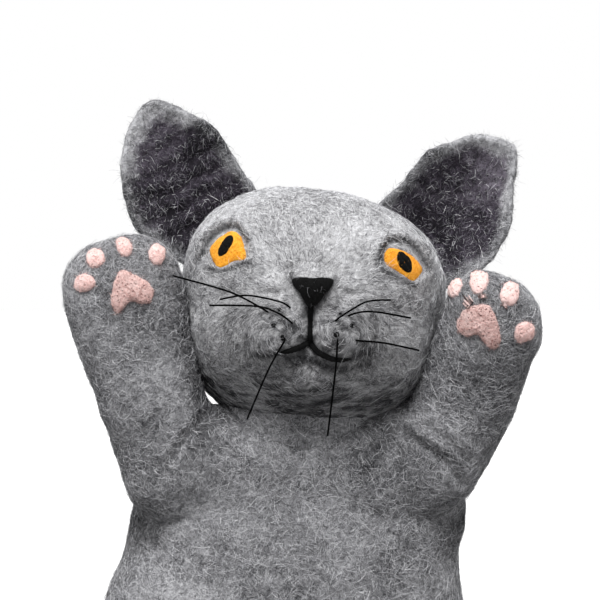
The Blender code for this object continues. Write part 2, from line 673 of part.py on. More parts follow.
def make_face(head):
    for name, (u, v, wide, high) in MUZZLE.items():
        shape = oval(u * MM, v * MM, wide * MM, high * MM, 0, 22)
        patch(name, shape, head_surface, on_felt, MUZZLE_EDGE, MUZZLE_RISE, "grey_felt", head, 4)
    u, v, wide, high = CHIN
    chin = oval(u * MM, v * MM, wide * MM, high * MM, 0, 14)
    patch("chin_pad", chin, head_surface, on_felt, MUZZLE_EDGE, CHIN_RISE, "grey_felt", head)
    nose = smooth_loop([(u * MM, v * MM) for u, v in NOSE], 2)
    patch("nose", nose, head_surface, over_pads, NOSE_EDGE, NOSE_RISE, "black_felt", head, 3)
    for side, points in EYES.items():
        shape = smooth_loop([(u * MM, v * MM) for u, v in points], 2)
        patch(f"{side}_eye", shape, head_surface, on_felt, EYE_EDGE, EYE_RISE, "amber_felt", head)
        u, v, wide, high, lean = PUPILS[side]
        slit = oval(u * MM, v * MM, wide * MM, high * MM, math.radians(lean), 10)
        patch(f"{side}_pupil", slit, head_surface, over_eye, PUPIL_THICK, 0, "black_felt", head)
    for side, spots in SPOTS.items():
        for number, (u, v, radius) in enumerate(spots, 1):
            dot = oval(u * MM, v * MM, radius * MM, radius * MM, 0, 8)
            name = f"{side}_whisker_spot_{number}"
            patch(name, dot, head_surface, over_pads, SPOT_THICK, 0, "black_felt", head, 1)


def over_eye(u, v):
    return 2 * SKIN_GAP + EYE_EDGE + EYE_RISE


def laid(u, v, off):
    """A point that far in front of the head."""
    return head_surface(u, v) + facing(head_surface, u, v) * off


def make_stitches(head):
    """The yarn lines of the mouth and the thread whiskers."""
    rows = {"philtrum": PHILTRUM, "left_mouth_line": MOUTH["left"], "right_mouth_line": MOUTH["right"]}
    for name, points in rows.items():
        route = []
        for u, v in points:
            route.append(laid(u * MM, v * MM, over_pads(u * MM, v * MM) + YARN_RADIUS))
        strand(name, route, YARN_RADIUS, "black_thread", head)
    for name, (root, *free) in WHISKERS.items():
        u, v = root[0] * MM, root[1] * MM
        route = [laid(u, v, over_pads(u, v) + 2.2 * THREAD_RADIUS)]
        route += [Vector((u, -front, v)) * MM for u, v, front in free]
        strand(name, route, THREAD_RADIUS, "black_thread", head)


# ---- assembly -----------------------------------------------------------------------------------------


def main():
    for obj in list(bpy.data.objects):
        bpy.data.objects.remove(obj, do_unlink=True)
    waist = make_skirt()
    shoulders = {}
    for name, (side, lean, forward, reach, half_width) in ARMS.items():
        turn = Matrix.Rotation(side * lean, 4, "Y")
        shoulder = pivot(f"{name}_shoulder_pivot", shoulder_at(side, lean, half_width), turn, waist)
        bent = Matrix.Rotation(forward, 4, "X")
        elbow = pivot(f"{name}_elbow_pivot", (0, 0, ELBOW_REACH), bent, shoulder)
        upright = pivot(f"{name}_elbow_upright", (0, 0, ELBOW_REACH), None, shoulder)
        make_upper_arm(name, shoulder, upright)
        make_forearm(name, reach, half_width, elbow)
        make_paw_pads(name, side, reach, half_width, elbow)
        shoulders[name] = shoulder
    make_torso(waist, shoulders)
    neck = pivot("neck_pivot", (NECK_X - WAIST_CENTRE_X, 0, NECK_PIVOT_RISE), None, waist)
    make_collar(neck)
    head = pivot("head_centre", (0, 0, 0), Matrix.Rotation(HEAD_ROLL, 4, "Y"), neck)
    middle_of_head = pivot("head_middle", (0, HEAD_SET_BACK, HEAD_OVER_PIVOT), None, head)
    make_head(middle_of_head)
    make_ears(middle_of_head)
    make_face(middle_of_head)
    make_stitches(middle_of_head)


main()
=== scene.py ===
import json
import math

import bmesh
import bpy
import numpy as np
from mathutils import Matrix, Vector
from mathutils.bvhtree import BVHTree
from mathutils.kdtree import KDTree


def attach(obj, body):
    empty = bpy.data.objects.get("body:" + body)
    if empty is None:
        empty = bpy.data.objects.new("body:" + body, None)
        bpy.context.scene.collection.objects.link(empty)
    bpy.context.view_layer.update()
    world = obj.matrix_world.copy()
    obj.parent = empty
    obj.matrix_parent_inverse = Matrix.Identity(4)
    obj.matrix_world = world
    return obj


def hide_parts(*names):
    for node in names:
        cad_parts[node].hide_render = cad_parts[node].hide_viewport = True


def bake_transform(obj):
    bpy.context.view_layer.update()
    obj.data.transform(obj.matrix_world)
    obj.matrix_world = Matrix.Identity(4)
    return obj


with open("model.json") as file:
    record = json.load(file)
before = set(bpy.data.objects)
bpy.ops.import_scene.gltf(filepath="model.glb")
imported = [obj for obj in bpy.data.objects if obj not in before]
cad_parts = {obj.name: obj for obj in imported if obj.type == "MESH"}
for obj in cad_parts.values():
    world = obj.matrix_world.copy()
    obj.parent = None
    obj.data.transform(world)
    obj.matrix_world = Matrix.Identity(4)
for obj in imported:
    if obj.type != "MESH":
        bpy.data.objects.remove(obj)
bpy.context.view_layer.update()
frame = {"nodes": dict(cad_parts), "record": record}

MM = 0.001
JOINTS = {j["name"]: np.array(j["pos_m"], float) for j in frame["record"]["behaviour"]["joints"]}
WAIST = JOINTS["waist_bow"]
NECK = JOINTS["neck_turn"]
SKIN_VOXEL = 1.25 * MM
WALL = 3.5 * MM
SLIP = 0.03 * MM  # how far apart the rays of a cast are
IN_FRONT = 90 * MM  # where rays start, ahead of the middle of what they look for
CAST_DEPTH = 60 * MM  # how deep a ray that hits nothing looks for the nearest skin


# ---- numbers on points ----


def unit(v):
    return v / np.maximum(np.linalg.norm(v, axis=-1, keepdims=True), 1e-12)


def smooth(t):
    t = np.clip(t, 0, 1)
    return t * t * (3 - 2 * t)


def noise3(points, size, seed=0):
    """Smooth noise from -1 to 1, with bumps about that many metres wide."""
    q = points / size + seed * 17.31
    base = np.floor(q).astype(np.int64)
    f = smooth(q - base)
    total = np.zeros(len(points))
    for corner in range(8):
        o = np.array([corner & 1, corner >> 1 & 1, corner >> 2 & 1])
        c = base + o
        h = (c[:, 0] * 73856093) ^ (c[:, 1] * 19349663) ^ (c[:, 2] * 83492791)
        h = ((h ^ (h >> 13)) * 1274126177) & 0x7FFFFFFF
        total += np.prod(np.where(o, f, 1 - f), axis=1) * ((h % 20011) / 10005.5 - 1)
    return total


def curve_through(rows, steps, closed=False):
    """Rows of numbers along a smooth curve through the given rows."""
    rows = np.array(rows, float)
    count = len(rows)
    made = []
    for i in range(count if closed else count - 1):
        picks = [(i + k) % count if closed else min(max(i + k, 0), count - 1) for k in (-1, 0, 1, 2)]
        o, p, q, r = rows[picks]
        for k in range(steps):
            t = k / steps
            bend, twist = 2 * o - 5 * p + 4 * q - r, 3 * p - o - 3 * q + r
            made.append(0.5 * (2 * p + (q - o) * t + bend * t**2 + twist * t**3))
    if not closed:
        made.append(rows[-1])
    return np.array(made)


def distance_to_path(points, path):
    """How far each point is from a broken line; both may be 2-D or 3-D."""
    best = np.full(len(points), 1e9)
    for a, b in zip(path, path[1:]):
        ab = b - a
        t = np.clip((points - a) @ ab / (ab @ ab), 0, 1)
        best = np.minimum(best, np.linalg.norm(points - a - t[:, None] * ab, axis=1))
    return best


def in_space(points):
    """2-D points as 3-D ones."""
    return np.pad(points, ((0, 0), (0, 1)))


# ---- meshes ----


def linked(name, data):
    """A new object in the scene."""
    obj = bpy.data.objects.new(name, data)
    bpy.context.scene.collection.objects.link(obj)
    return obj


def new_object(name, verts, faces, *materials):
    mesh = bpy.data.meshes.new(name)
    mesh.from_pydata([tuple(v) for v in verts], [], [tuple(f) for f in faces])
    mesh.validate()
    mesh.shade_smooth()
    for m in materials:
        mesh.materials.append(m)
    return linked(name, mesh)


def fix_normals(obj):
    bm = bmesh.new()
    bm.from_mesh(obj.data)
    bmesh.ops.recalc_face_normals(bm, faces=bm.faces)
    bm.to_mesh(obj.data)
    bm.free()


def vertices_of(mesh):
    co = np.zeros(len(mesh.vertices) * 3)
    mesh.vertices.foreach_get("co", co)
    return co.reshape(-1, 3)


def normals_of(mesh):
    no = np.zeros(len(mesh.vertices) * 3)
    mesh.vertex_normals.foreach_get("vector", no)
    return no.reshape(-1, 3)


def set_vertices(mesh, co):
    mesh.vertices.foreach_set("co", np.asarray(co, float).ravel())
    mesh.update()


def loft(rows):
    """Vertices and faces of a closed tube through rings of points, both ends shut."""
    n = len(rows[0])
    verts = np.concatenate(rows)
    faces = []
    for k in range(len(rows) - 1):
        for i in range(n):
            j = (i + 1) % n
            faces.append((k * n + i, k * n + j, (k + 1) * n + j, (k + 1) * n + i))
    faces.append(tuple(range(n))[::-1])
    faces.append(tuple(range((len(rows) - 1) * n, len(rows) * n)))
    return verts, faces


def ring(centre, across, deep, wide, depth, power, count=48):
    """A ring of points on a superellipse in the plane of across and deep."""
    a = np.arange(count) * 2 * math.pi / count
    c, s = np.cos(a), np.sin(a)
    u = np.sign(c) * np.abs(c) ** (2 / power) * wide
    v = np.sign(s) * np.abs(s) ** (2 / power) * depth
    return centre + u[:, None] * across + v[:, None] * deep


def applied(obj):
    """The object's mesh with its modifiers applied, as a new mesh; the object is removed."""
    graph = bpy.context.evaluated_depsgraph_get()
    mesh = bpy.data.meshes.new_from_object(obj.evaluated_get(graph))
    bpy.data.objects.remove(obj, do_unlink=True)
    return mesh


def fused(name, parts, voxel, rounds):
    """One smooth skin round several overlapping closed shapes."""
    verts, faces, start = [], [], 0
    for v, f in parts:
        verts.append(v)
        faces += [tuple(i + start for i in face) for face in f]
        start += len(v)
    obj = new_object(name, np.concatenate(verts), faces)
    fix_normals(obj)
    remesh = obj.modifiers.new("one skin", "REMESH")
    remesh.mode, remesh.voxel_size = "VOXEL", voxel
    relax = obj.modifiers.new("relax", "SMOOTH")
    relax.factor, relax.iterations = 0.5, rounds
    return applied(obj)


class Surface:
    """A mesh to lay things on."""

    def __init__(self, mesh):
        self.verts = vertices_of(mesh)
        mesh.calc_loop_triangles()
        tris = np.zeros(len(mesh.loop_triangles) * 3, np.int32)
        mesh.loop_triangles.foreach_get("vertices", tris)
        self.tris = tris.reshape(-1, 3)
        self.normals = normals_of(mesh)
        self.tree = BVHTree.FromPolygons([tuple(v) for v in self.verts], self.tris.tolist())

    def cast(self, start, direction):
        """The first point hit, and its smooth normal. A ray can slip through an edge, so three are cast."""
        start, direction = Vector(start), Vector(direction)
        hits = []
        for aside in ((0, 0, 0), (SLIP, 0, SLIP), (-SLIP, 0, SLIP)):
            hit, _, face, far = self.tree.ray_cast(start + Vector(aside), direction)
            if hit is not None:
                hits.append((far, face, hit))
        if hits:
            _, face, hit = min(hits, key=lambda found: found[0])
        else:
            hit, _, face, _ = self.tree.find_nearest(start + direction * CAST_DEPTH)
        corners = self.tris[face]
        p = self.verts[corners]
        hit = np.array(hit)
        areas = [np.linalg.norm(np.cross(p[(k + 1) % 3] - hit, p[(k + 2) % 3] - hit)) for k in range(3)]
        normal = (self.normals[corners] * np.array(areas)[:, None]).sum(0)
        return hit, unit(normal)

    def scatter(self, count, rng, keep=None):
        """Random points spread evenly over the surface, with their normals."""
        p = self.verts[self.tris]
        area = np.linalg.norm(np.cross(p[:, 1] - p[:, 0], p[:, 2] - p[:, 0]), axis=1)
        if keep is not None:
            area = area * keep(p.mean(1))
        pick = rng.choice(len(area), count, p=area / area.sum())
        a, b = rng.random(count), rng.random(count)
        flip = a + b > 1
        a[flip], b[flip] = 1 - a[flip], 1 - b[flip]
        w = np.stack([1 - a - b, a, b], 1)[:, :, None]
        return (p[pick] * w).sum(1), unit((self.normals[self.tris[pick]] * w).sum(1))


# ---- materials ----


MIX_A, MIX_B, MIX_RESULT = 6, 7, 2  # a Mix node's colour sockets, which share their names with others


class Graph:
    """The nodes of a material or of the world. What goes into a socket is a number or another's output."""

    def __init__(self, tree):
        self.nodes, self.links = tree.nodes, tree.links

    def put(self, value, socket):
        if isinstance(value, (int, float)):
            socket.default_value = value
        else:
            self.links.new(value, socket)

    def add(self, kind, values=(), **settings):
        """A new node's outputs; values are pairs of an input's name or number and what goes in."""
        node = self.nodes.new(f"ShaderNode{kind}")
        for key, value in settings.items():
            setattr(node, key, value)
        for key, value in values:
            self.put(value, node.inputs[key])
        return node.outputs

    def math(self, operation, a, b):
        return self.add("Math", [(0, a), (1, b)], operation=operation)[0]

    def noise(self, coords, scale, detail, rough, distortion):
        sizes = [("Scale", scale), ("Detail", detail), ("Roughness", rough), ("Distortion", distortion)]
        return self.add("TexNoise", [*sizes, ("Vector", coords)])["Fac"]

    def ramp(self, fac, stops):
        node = self.nodes.new("ShaderNodeValToRGB")
        elements = node.color_ramp.elements
        while len(elements) < len(stops):
            elements.new(0.5)
        for e, (at, colour) in zip(elements, stops):
            e.position = at
            e.color = (*colour, 1)
        self.put(fac, node.inputs["Fac"])
        return node.outputs["Color"]


def shader(name, roughness, sheen=0.0, specular=0.12):
    m = bpy.data.materials.new(name)
    m.use_nodes = True
    bsdf = m.node_tree.nodes["Principled BSDF"]
    bsdf.inputs["Roughness"].default_value = roughness
    bsdf.inputs["Specular IOR Level"].default_value = specular
    bsdf.inputs["Sheen Weight"].default_value = sheen
    bsdf.inputs["Sheen Roughness"].default_value = 0.6
    return m, Graph(m.node_tree), bsdf.inputs


def plain(name, roughness, colour):
    m, _, inputs = shader(name, roughness)
    inputs["Base Color"].default_value = (*colour, 1)
    return m


def felt(name, stops, curl=300, fleck=1150, patchy=0.35, bump=0.8, sheen=0.06, pricks=None, shade_and_dark_wool_stops=None):
    """Wool felt: matted curly fibres of several tones. pricks adds the small dark dots of a felting needle.

    shade_and_dark_wool_stops gives the tones that the felt fades to where the mesh's "shade" attribute is 1: painted
    shade on the glove and the head, and darker wool on the head and in the ears.
    """
    m, graph, inputs = shader(name, 1.0, sheen)
    coords = graph.add("TexCoord")["Object"]
    curls = graph.noise(coords, curl, 9, 0.72, 2.2)
    flecks = graph.noise(coords, fleck, 5, 0.7, 3.0)
    clouds = graph.noise(coords, 34, 3, 0.5, 0.6)
    fine = graph.math("ADD", graph.math("MULTIPLY", curls, 0.55), graph.math("MULTIPLY", flecks, 0.45))
    cloud = graph.math("MULTIPLY", graph.math("SUBTRACT", clouds, 0.5), patchy)
    tone = graph.math("ADD", fine, cloud)
    height = fine
    if pricks:
        size, depth = pricks
        cells = graph.add("TexVoronoi", [("Scale", size), ("Vector", coords)])["Distance"]
        near = graph.add("MapRange", [("From Min", 0.16), ("From Max", 0.34), ("Value", cells)])["Result"]
        inside = graph.math("SUBTRACT", 1.0, near)
        tone = graph.math("SUBTRACT", tone, graph.math("MULTIPLY", inside, depth))
        height = graph.math("SUBTRACT", fine, graph.math("MULTIPLY", inside, 0.5))
    colour = graph.ramp(tone, stops)
    if shade_and_dark_wool_stops:
        shade = graph.add("Attribute", attribute_name="shade")["Fac"]
        mixed = [("Factor", shade), (MIX_A, colour), (MIX_B, graph.ramp(tone, shade_and_dark_wool_stops))]
        colour = graph.add("Mix", mixed, data_type="RGBA")[MIX_RESULT]
    graph.put(colour, inputs["Base Color"])
    relief = graph.add("Bump", [("Strength", bump), ("Distance", 0.8 * MM), ("Height", height)])
    graph.put(relief["Normal"], inputs["Normal"])
    return m


def waxed_thread(name):
    m, graph, inputs = shader(name, 0.8, specular=0.0)
    tone = graph.noise(graph.add("TexCoord")["Object"], 900, 3, 0.5, 0.5)
    graph.put(graph.ramp(tone, [(0.35, (0.001,) * 3), (0.65, (0.005,) * 3)]), inputs["Base Color"])
    return m


# each felt's tones, from the gaps between its fibres to their tops: place on the ramp, and colour
GREY_STOPS = [
    (0.32, (0.012, 0.012, 0.014)), (0.43, (0.075, 0.075, 0.080)), (0.52, (0.24, 0.24, 0.25)),
    (0.66, (0.60, 0.60, 0.62)),
]
DARK_STOPS = [
    (0.32, (0.006, 0.006, 0.007)), (0.43, (0.020, 0.020, 0.022)), (0.55, (0.070, 0.070, 0.074)),
    (0.72, (0.26, 0.26, 0.27)),
]
PLUM_STOPS = [
    (0.30, (0.007, 0.0062, 0.0085)), (0.45, (0.022, 0.018, 0.026)), (0.57, (0.066, 0.056, 0.074)),
    (0.72, (0.19, 0.17, 0.205)),
]
GREY = felt("grey_felt_wool", GREY_STOPS, patchy=0.3, shade_and_dark_wool_stops=DARK_STOPS)
# the head's grey felt, paler than the glove's: partly paler wool, partly painted light from above
GREY_HEAD = felt(
    "grey_felt_head",
    [
        (0.32, (0.022, 0.022, 0.024)), (0.42, (0.13, 0.129, 0.134)), (0.51, (0.38, 0.379, 0.388)),
        (0.65, (0.74, 0.74, 0.755)),
    ],
    curl=260, patchy=0.4, shade_and_dark_wool_stops=DARK_STOPS,
)
EAR = felt("ear_felt_wool", GREY_STOPS, curl=240, patchy=0.7, shade_and_dark_wool_stops=PLUM_STOPS)
PAD = felt(
    "pad_felt_wool",
    [(0.10, (0.16, 0.08, 0.07)), (0.30, (0.42, 0.25, 0.23)), (0.44, (0.68, 0.46, 0.43)), (0.62, (0.90, 0.70, 0.66))],
    pricks=(760, 0.26), patchy=0.3, bump=1.0,
)
TOE = felt(
    "toe_felt_wool",
    [(0.15, (0.45, 0.22, 0.19)), (0.34, (0.78, 0.52, 0.48)), (0.46, (0.94, 0.66, 0.62)), (0.62, (1.0, 0.80, 0.77))],
    pricks=(700, 0.16), patchy=0.3, bump=1.0,
)
AMBER = felt(
    "amber_felt_wool",
    [(0.30, (0.50, 0.15, 0.006)), (0.42, (0.86, 0.34, 0.018)), (0.54, (1.0, 0.47, 0.045)), (0.68, (1.0, 0.66, 0.16))],
    patchy=0.4, bump=0.9,
)
# black felt; its palest tone, on the tops of the curls, is a painted highlight
BLACK = felt(
    "black_felt_wool",
    [(0.30, (0.002,) * 3), (0.48, (0.004,) * 3), (0.60, (0.006,) * 3), (0.74, (0.06, 0.06, 0.063))],
    sheen=0.0,
)
WOOL = felt("stuffing_wool", [(0.3, (0.42, 0.39, 0.33)), (0.5, (0.62, 0.58, 0.50)), (0.7, (0.78, 0.75, 0.68))], curl=180)
THREAD = waxed_thread("black_thread_waxed")

FIBRES = {
    tone: plain(f"fibre_{tone}", 0.85, colour)
    for tone, colour in (
        ("white", (0.92, 0.92, 0.94)), ("light", (0.64, 0.64, 0.66)), ("mid", (0.27, 0.27, 0.285)),
        ("dark", (0.016, 0.0155, 0.018)), ("pink", (0.95, 0.68, 0.64)), ("rose", (0.50, 0.26, 0.23)),
        ("amber", (1.0, 0.58, 0.10)), ("orange", (0.72, 0.24, 0.01)), ("black", (0.006, 0.006, 0.006)),
        ("plum", (0.20, 0.18, 0.22)),
    )
}


# ---- loose fibres ----


FIBRE_STEPS = 3  # straight lengths in a fibre


def make_fibres(name, points, normals, rng, tones, sizes, flow=None, loose=0.10, share=None):
    """Thin curved ribbons of wool, matted on the skin; a few stand clear of it.

    sizes are a fibre's length, its lift off the skin, the radius of the skin that it follows, and its width, in
    mm. tones is a list of (fibre material, share); share gives those shares point by point instead. flow gives
    a direction at each point and how far to keep to it, and loose is the share that stands clear.
    """
    length, lift, radius, width = (size * MM for size in sizes)
    count, steps = len(points), FIBRE_STEPS
    heading = rng.normal(size=(count, 3))
    if flow:
        along, hold = flow(points)
        heading = unit(heading) * (1 - hold)[:, None] + along * hold[:, None]
    tangent = unit(heading - (heading * normals).sum(1)[:, None] * normals)
    side = np.cross(normals, tangent)
    size = length * np.exp(rng.normal(0, 0.35, count))
    bend = rng.normal(0, 0.9, count)
    stray = rng.random(count) < loose
    height = lift * (0.25 + rng.random(count)) * np.where(stray, 2.6, 1.0)
    rise = np.where(stray, 0.68, 0.90)
    twist = rng.uniform(-1.4, 1.4, count)
    centre = []
    for k in range(steps + 1):
        t = k / steps
        run = size * t
        up = height * (np.sin(math.pi * t * rise) - 0.15) - run**2 / (2 * radius)
        across = run * np.sin(0.5 * bend * t)
        ahead = run * np.cos(0.5 * bend * t)
        centre.append(points + tangent * ahead[:, None] + side * across[:, None] + normals * up[:, None])
    flat = np.cos(twist)[:, None] * side + np.sin(twist)[:, None] * normals
    verts = []
    for k, at in enumerate(centre):
        half = 0.5 * width * (1.0 if k < steps else 0.35)
        verts += [at - flat * half, at + flat * half]
    verts = np.stack(verts, 1).reshape(-1, 3)
    verts[:, 2] = np.maximum(verts[:, 2], 0.1 * MM)
    per = 2 * (steps + 1)
    faces = np.array([(2 * k, 2 * k + 1, 2 * k + 3, 2 * k + 2) for k in range(steps)])
    faces = (faces[None] + np.arange(count)[:, None, None] * per).reshape(-1, 4)
    mesh = bpy.data.meshes.new(name)
    mesh.vertices.add(len(verts))
    mesh.vertices.foreach_set("co", verts.ravel())
    mesh.loops.add(faces.size)
    mesh.loops.foreach_set("vertex_index", faces.ravel())
    mesh.polygons.add(len(faces))
    mesh.polygons.foreach_set("loop_start", np.arange(len(faces)) * 4)
    if share:
        shares = share(points)
    else:
        shares = np.tile([part for _, part in tones], (count, 1))
    shares = np.cumsum(shares, 1) / shares.sum(1)[:, None]
    kinds = (rng.random(count)[:, None] > shares[:, :-1]).sum(1)
    mesh.polygons.foreach_set("material_index", np.repeat(kinds, steps))
    mesh.update(calc_edges=True)
    for tone, _ in tones:
        mesh.materials.append(FIBRES[tone])
    return linked(name, mesh)


def fuzz_front(obj, count, rng, tones, facing, sizes):
    """Fibres on a felt piece where its normal leans to the front by at least facing."""
    points, normals = Surface(obj.data).scatter(count, rng)
    keep = normals @ -Y > facing
    return make_fibres(obj.name + "_fibres", points[keep], normals[keep], rng, tones, sizes)


def set_shade_and_dark_wool(mesh, values):
    """Write the felt's "shade", one number from 0 to 1 for each vertex."""
    mesh.attributes.new("shade", "FLOAT", "POINT").data.foreach_set("value", np.clip(values, 0, 1))


X, Y, Z = np.eye(3)
GREY_TONES = [("light", 0.40), ("mid", 0.35), ("dark", 0.25), ("white", 0.05)]


def mottled(points):
    """Shares of the grey tones: darker and lighter clouds of wool."""
    cloud = 0.55 * noise3(points, 11 * MM, 31) + 0.45 * noise3(points, 4 * MM, 32)
    dark = np.clip(0.19 + 0.26 * cloud, 0.04, 0.75)
    light = (1 - dark) * np.clip(0.52 - 0.18 * cloud, 0.2, 0.8)
    return np.stack([light, 1 - dark - light, dark, np.full(len(points), 0.03)], 1)


# ---- glove skin ----

PAW_DEPTH = 16 * MM
# at a joint: where along the way of the felt a span starts and ends, from the shoulder joint; the skin is cut into
# pieces where it starts
SHOULDER_BEND, ELBOW_BEND = (-14 * MM, 10 * MM), (23 * MM, 50 * MM)
WAIST_BEND = (38 * MM, 86 * MM)  # heights
# sleeve: distance past the shoulder, shift towards the head, half width, half depth, in mm
SLEEVES = {
    "left": [
        (-17, 3.0, 5, 5), (-14, 3.4, 10, 10), (-8, 3.2, 14.6, 14), (0, 2.8, 18.0, 17.3), (15.5, 4.7, 20.2, 17),
        (31, 4.2, 21.0, 15.9),
    ],
    "right": [
        (-17, 7.0, 5, 5), (-14, 7.2, 10, 10), (-8, 6.8, 13.6, 14), (0, 5.4, 17.0, 17.3), (15.5, 4.8, 19.2, 17),
        (31, 3.8, 20, 15.9),
    ],
}
PAW_SHIFTS = {"left": (4.8, 5.6), "right": (4.2, 8.0)}  # at the paw's middle and at its tip
PAD_SHIFTS = {"left": (4.6, 1.2), "right": (7.2, 2.0)}  # of the paw pads, towards the head and along


class Arm:
    """One raised sleeve and paw, along the line from its shoulder joint to its elbow joint.

    forward is how far the paw leans to the front, and reach is how far its middle is past the elbow joint.
    """

    def __init__(self, name, side, forward, reach, half_width):
        self.name, self.side, self.reach, self.half_width = name, side, reach, half_width
        self.shoulder, self.elbow = JOINTS[f"{name}_arm_spread"], JOINTS[f"{name}_arm_fold"]
        self.along = unit(self.elbow - self.shoulder)
        self.across = np.array([self.along[2], 0, -self.along[0]])
        self.forward = forward
        self.paw_along = self.along * math.cos(forward) - Y * math.sin(forward)
        self.paw_deep = self.along * math.sin(forward) + Y * math.cos(forward)
        self.outward = unit(np.array([side * 1.0, 0, 1.0]))

    def rows(self):
        """Rings from the root inside the body to the tip of the paw."""
        rows = []
        for v, shift, wide, deep in curve_through(SLEEVES[self.name], 3):
            turn = self.forward * 0.5 * float(smooth((v - 20) / 22))
            deep_way = Y * math.cos(turn) + self.along * math.sin(turn)
            centre = self.shoulder + (self.along * v - self.side * self.across * shift) * MM
            rows.append(ring(centre, self.across, deep_way, wide * MM, deep * MM, 2))
        _, root_shift, root_wide, _ = SLEEVES[self.name][-1]
        wrist_shift, tip_shift = PAW_SHIFTS[self.name]
        for k in range(1, 9):
            t = k / 9
            wide = root_wide * MM + (self.half_width - root_wide * MM) * smooth(t)
            shift = root_shift + (wrist_shift - root_shift) * smooth(t)
            centre = self.paw_point(-self.side * shift * MM, t * self.reach)
            rows.append(ring(centre, self.across, self.paw_deep, wide, PAW_DEPTH, 2 + 0.3 * t))
        for k in range(12):
            past = math.sin(0.5 * math.pi * k / 11.6)
            cap = (1 - past**2.5) ** (1 / 2.5)
            shift = wrist_shift + (tip_shift - wrist_shift) * past
            centre = self.paw_point(-self.side * shift * MM, self.reach + past * self.half_width)
            rows.append(ring(centre, self.across, self.paw_deep, self.half_width * cap, PAW_DEPTH * cap, 2.3))
        return rows

    def bridge(self):
        """Rings that fill in between the chest and the sleeve, where they are felted together."""
        start = np.array([self.side * 12 * MM, BODY_Y - 4 * MM, 115 * MM])
        end = self.shoulder + self.along * 18 * MM
        way = unit(end - start)
        tall = unit(np.cross(way, Y)) * self.side
        deep = np.cross(tall, way)
        return [
            ring(start + (end - start) * t, tall, deep, (36 - 19 * t) * MM, (27 - 10.5 * t) * MM, 2)
            for t in np.linspace(0, 1, 8)
        ]

    def paw_point(self, u, v, ahead=0.0):
        return self.elbow + self.across * u + self.paw_along * v - self.paw_deep * ahead

    def shoulder_share(self, p):
        start, end = SHOULDER_BEND
        return ((p - self.shoulder) @ self.outward - start) / (end - start)

    def elbow_share(self, p):
        start, end = ELBOW_BEND
        return ((p - self.shoulder) @ self.along - start) / (end - start)


ARMS = [
    Arm("left", -1, 0.0, 43.2 * MM, 24.2 * MM),
    Arm("right", 1, math.radians(14), 34 * MM, 19.6 * MM),
]

BODY_Y = WAIST[1]
HEM_Z = 0.1 * MM
# height, centre x, half width, half depth, in mm
BODY = [
    (-8, -8.6, 77, 43), (2, -8.6, 77, 43), (26, -8.8, 75.4, 41.6), (50, -9.0, 75, 40), (72, -7.5, 72, 37.8),
    (92, -4.5, 67.3, 35), (104, -2.0, 67.6, 33.4), (116, -0.9, 65.6, 31), (126, 0.4, 58.5, 28), (134, 1.2, 50, 25),
    (141, 1.4, 40, 22), (146, 1.4, 26, 16), (148, 1.4, 9, 7),
]
# pressed folds, as paths on the front (x, z) in mm, with depth and half width
FOLDS = [
    ([(36, 144), (46, 138), (56, 131), (62, 122)], 1.5, 1.7),
    ([(48, 145), (57, 138), (66, 130)], 0.9, 1.5),
    ([(-36, 150), (-44, 142), (-50, 132)], 1.2, 1.8),
    ([(-40, 106), (-46, 108.5), (-52, 107)], 0.8, 1.3),
    ([(-20, 88), (-8, 86), (4, 88.5)], 0.5, 1.8),
]


# painted shade where the arms and the chin press on the glove, and on a few more places of its front: paths on the
# front (x, z) in mm, with half width
SHADOWS = [
    ([(-44, 196), (-45, 179), (-41, 163), (-37, 147), (-42, 136)], 5.5),
    ([(50, 196), (50, 176), (45, 160), (38, 148), (31, 138), (24, 131)], 5.5),
    ([(38, 145), (50, 135), (62, 131)], 3.5),
    ([(-36, 149), (-20, 146), (0, 144), (20, 145), (36, 148)], 5.0),
    ([(-74, 112), (-66, 104), (-58, 101)], 4.5), ([(70, 114), (64, 106), (58, 102)], 3.5),
]


def skin_painted_shade(points):
    """How much painted shade darkens the glove's wool, from 0 to 1."""
    dark = np.zeros(len(points))
    for path, half in SHADOWS:
        far = distance_to_path(points[:, [0, 2]], np.array(path, float) * MM)
        dark = np.maximum(dark, np.exp(-((far / (half * MM)) ** 2)))
    front = smooth((14 * MM - points[:, 1]) / (14 * MM))
    return front * dark * (0.62 + 0.3 * noise3(points, 3 * MM, 51))


# shares of the glove's fibre tones: mottled grey, turning dark in the painted shade
def skin_tones(points):
    dark = skin_painted_shade(points)[:, None]
    return mottled(points) * (1 - dark) + np.array([0.06, 0.14, 0.8, 0.0]) * dark


def make_skin():
    rows = []
    for z, x, wide, deep in curve_through(BODY, 3):
        rows.append(ring(np.array([x * MM, BODY_Y, z * MM]), X, Y, wide * MM, deep * MM, 2.06, 96))
    parts = [loft(rows)] + [loft(arm.rows()) for arm in ARMS] + [loft(arm.bridge()) for arm in ARMS]
    mesh = fused("skin", parts, SKIN_VOXEL, 16)
    co, no = vertices_of(mesh), normals_of(mesh)
    bump = 0.75 * MM * noise3(co, 17 * MM, 1) + 0.40 * MM * noise3(co, 7 * MM, 2)
    bump = bump + 0.20 * MM * noise3(co, 3 * MM, 3)
    front = no[:, 1] < 0.1
    for path, depth, half in FOLDS:
        far = distance_to_path(co[:, [0, 2]], np.array(path, float) * MM)
        bump -= front * depth * MM * np.exp(-((far / (half * MM)) ** 2))
        bump += front * 0.4 * depth * MM * np.exp(-(((far - 3.4 * MM) / (1.6 * MM)) ** 2))
    set_vertices(mesh, co + no * bump[:, None])
    bm = bmesh.new()
    bm.from_mesh(mesh)
    every = bm.verts[:] + bm.edges[:] + bm.faces[:]
    bmesh.ops.bisect_plane(bm, geom=every, plane_co=(0, 0, HEM_Z), plane_no=(0, 0, -1), clear_outer=True)
    bm.to_mesh(mesh)
    bm.free()
    return mesh


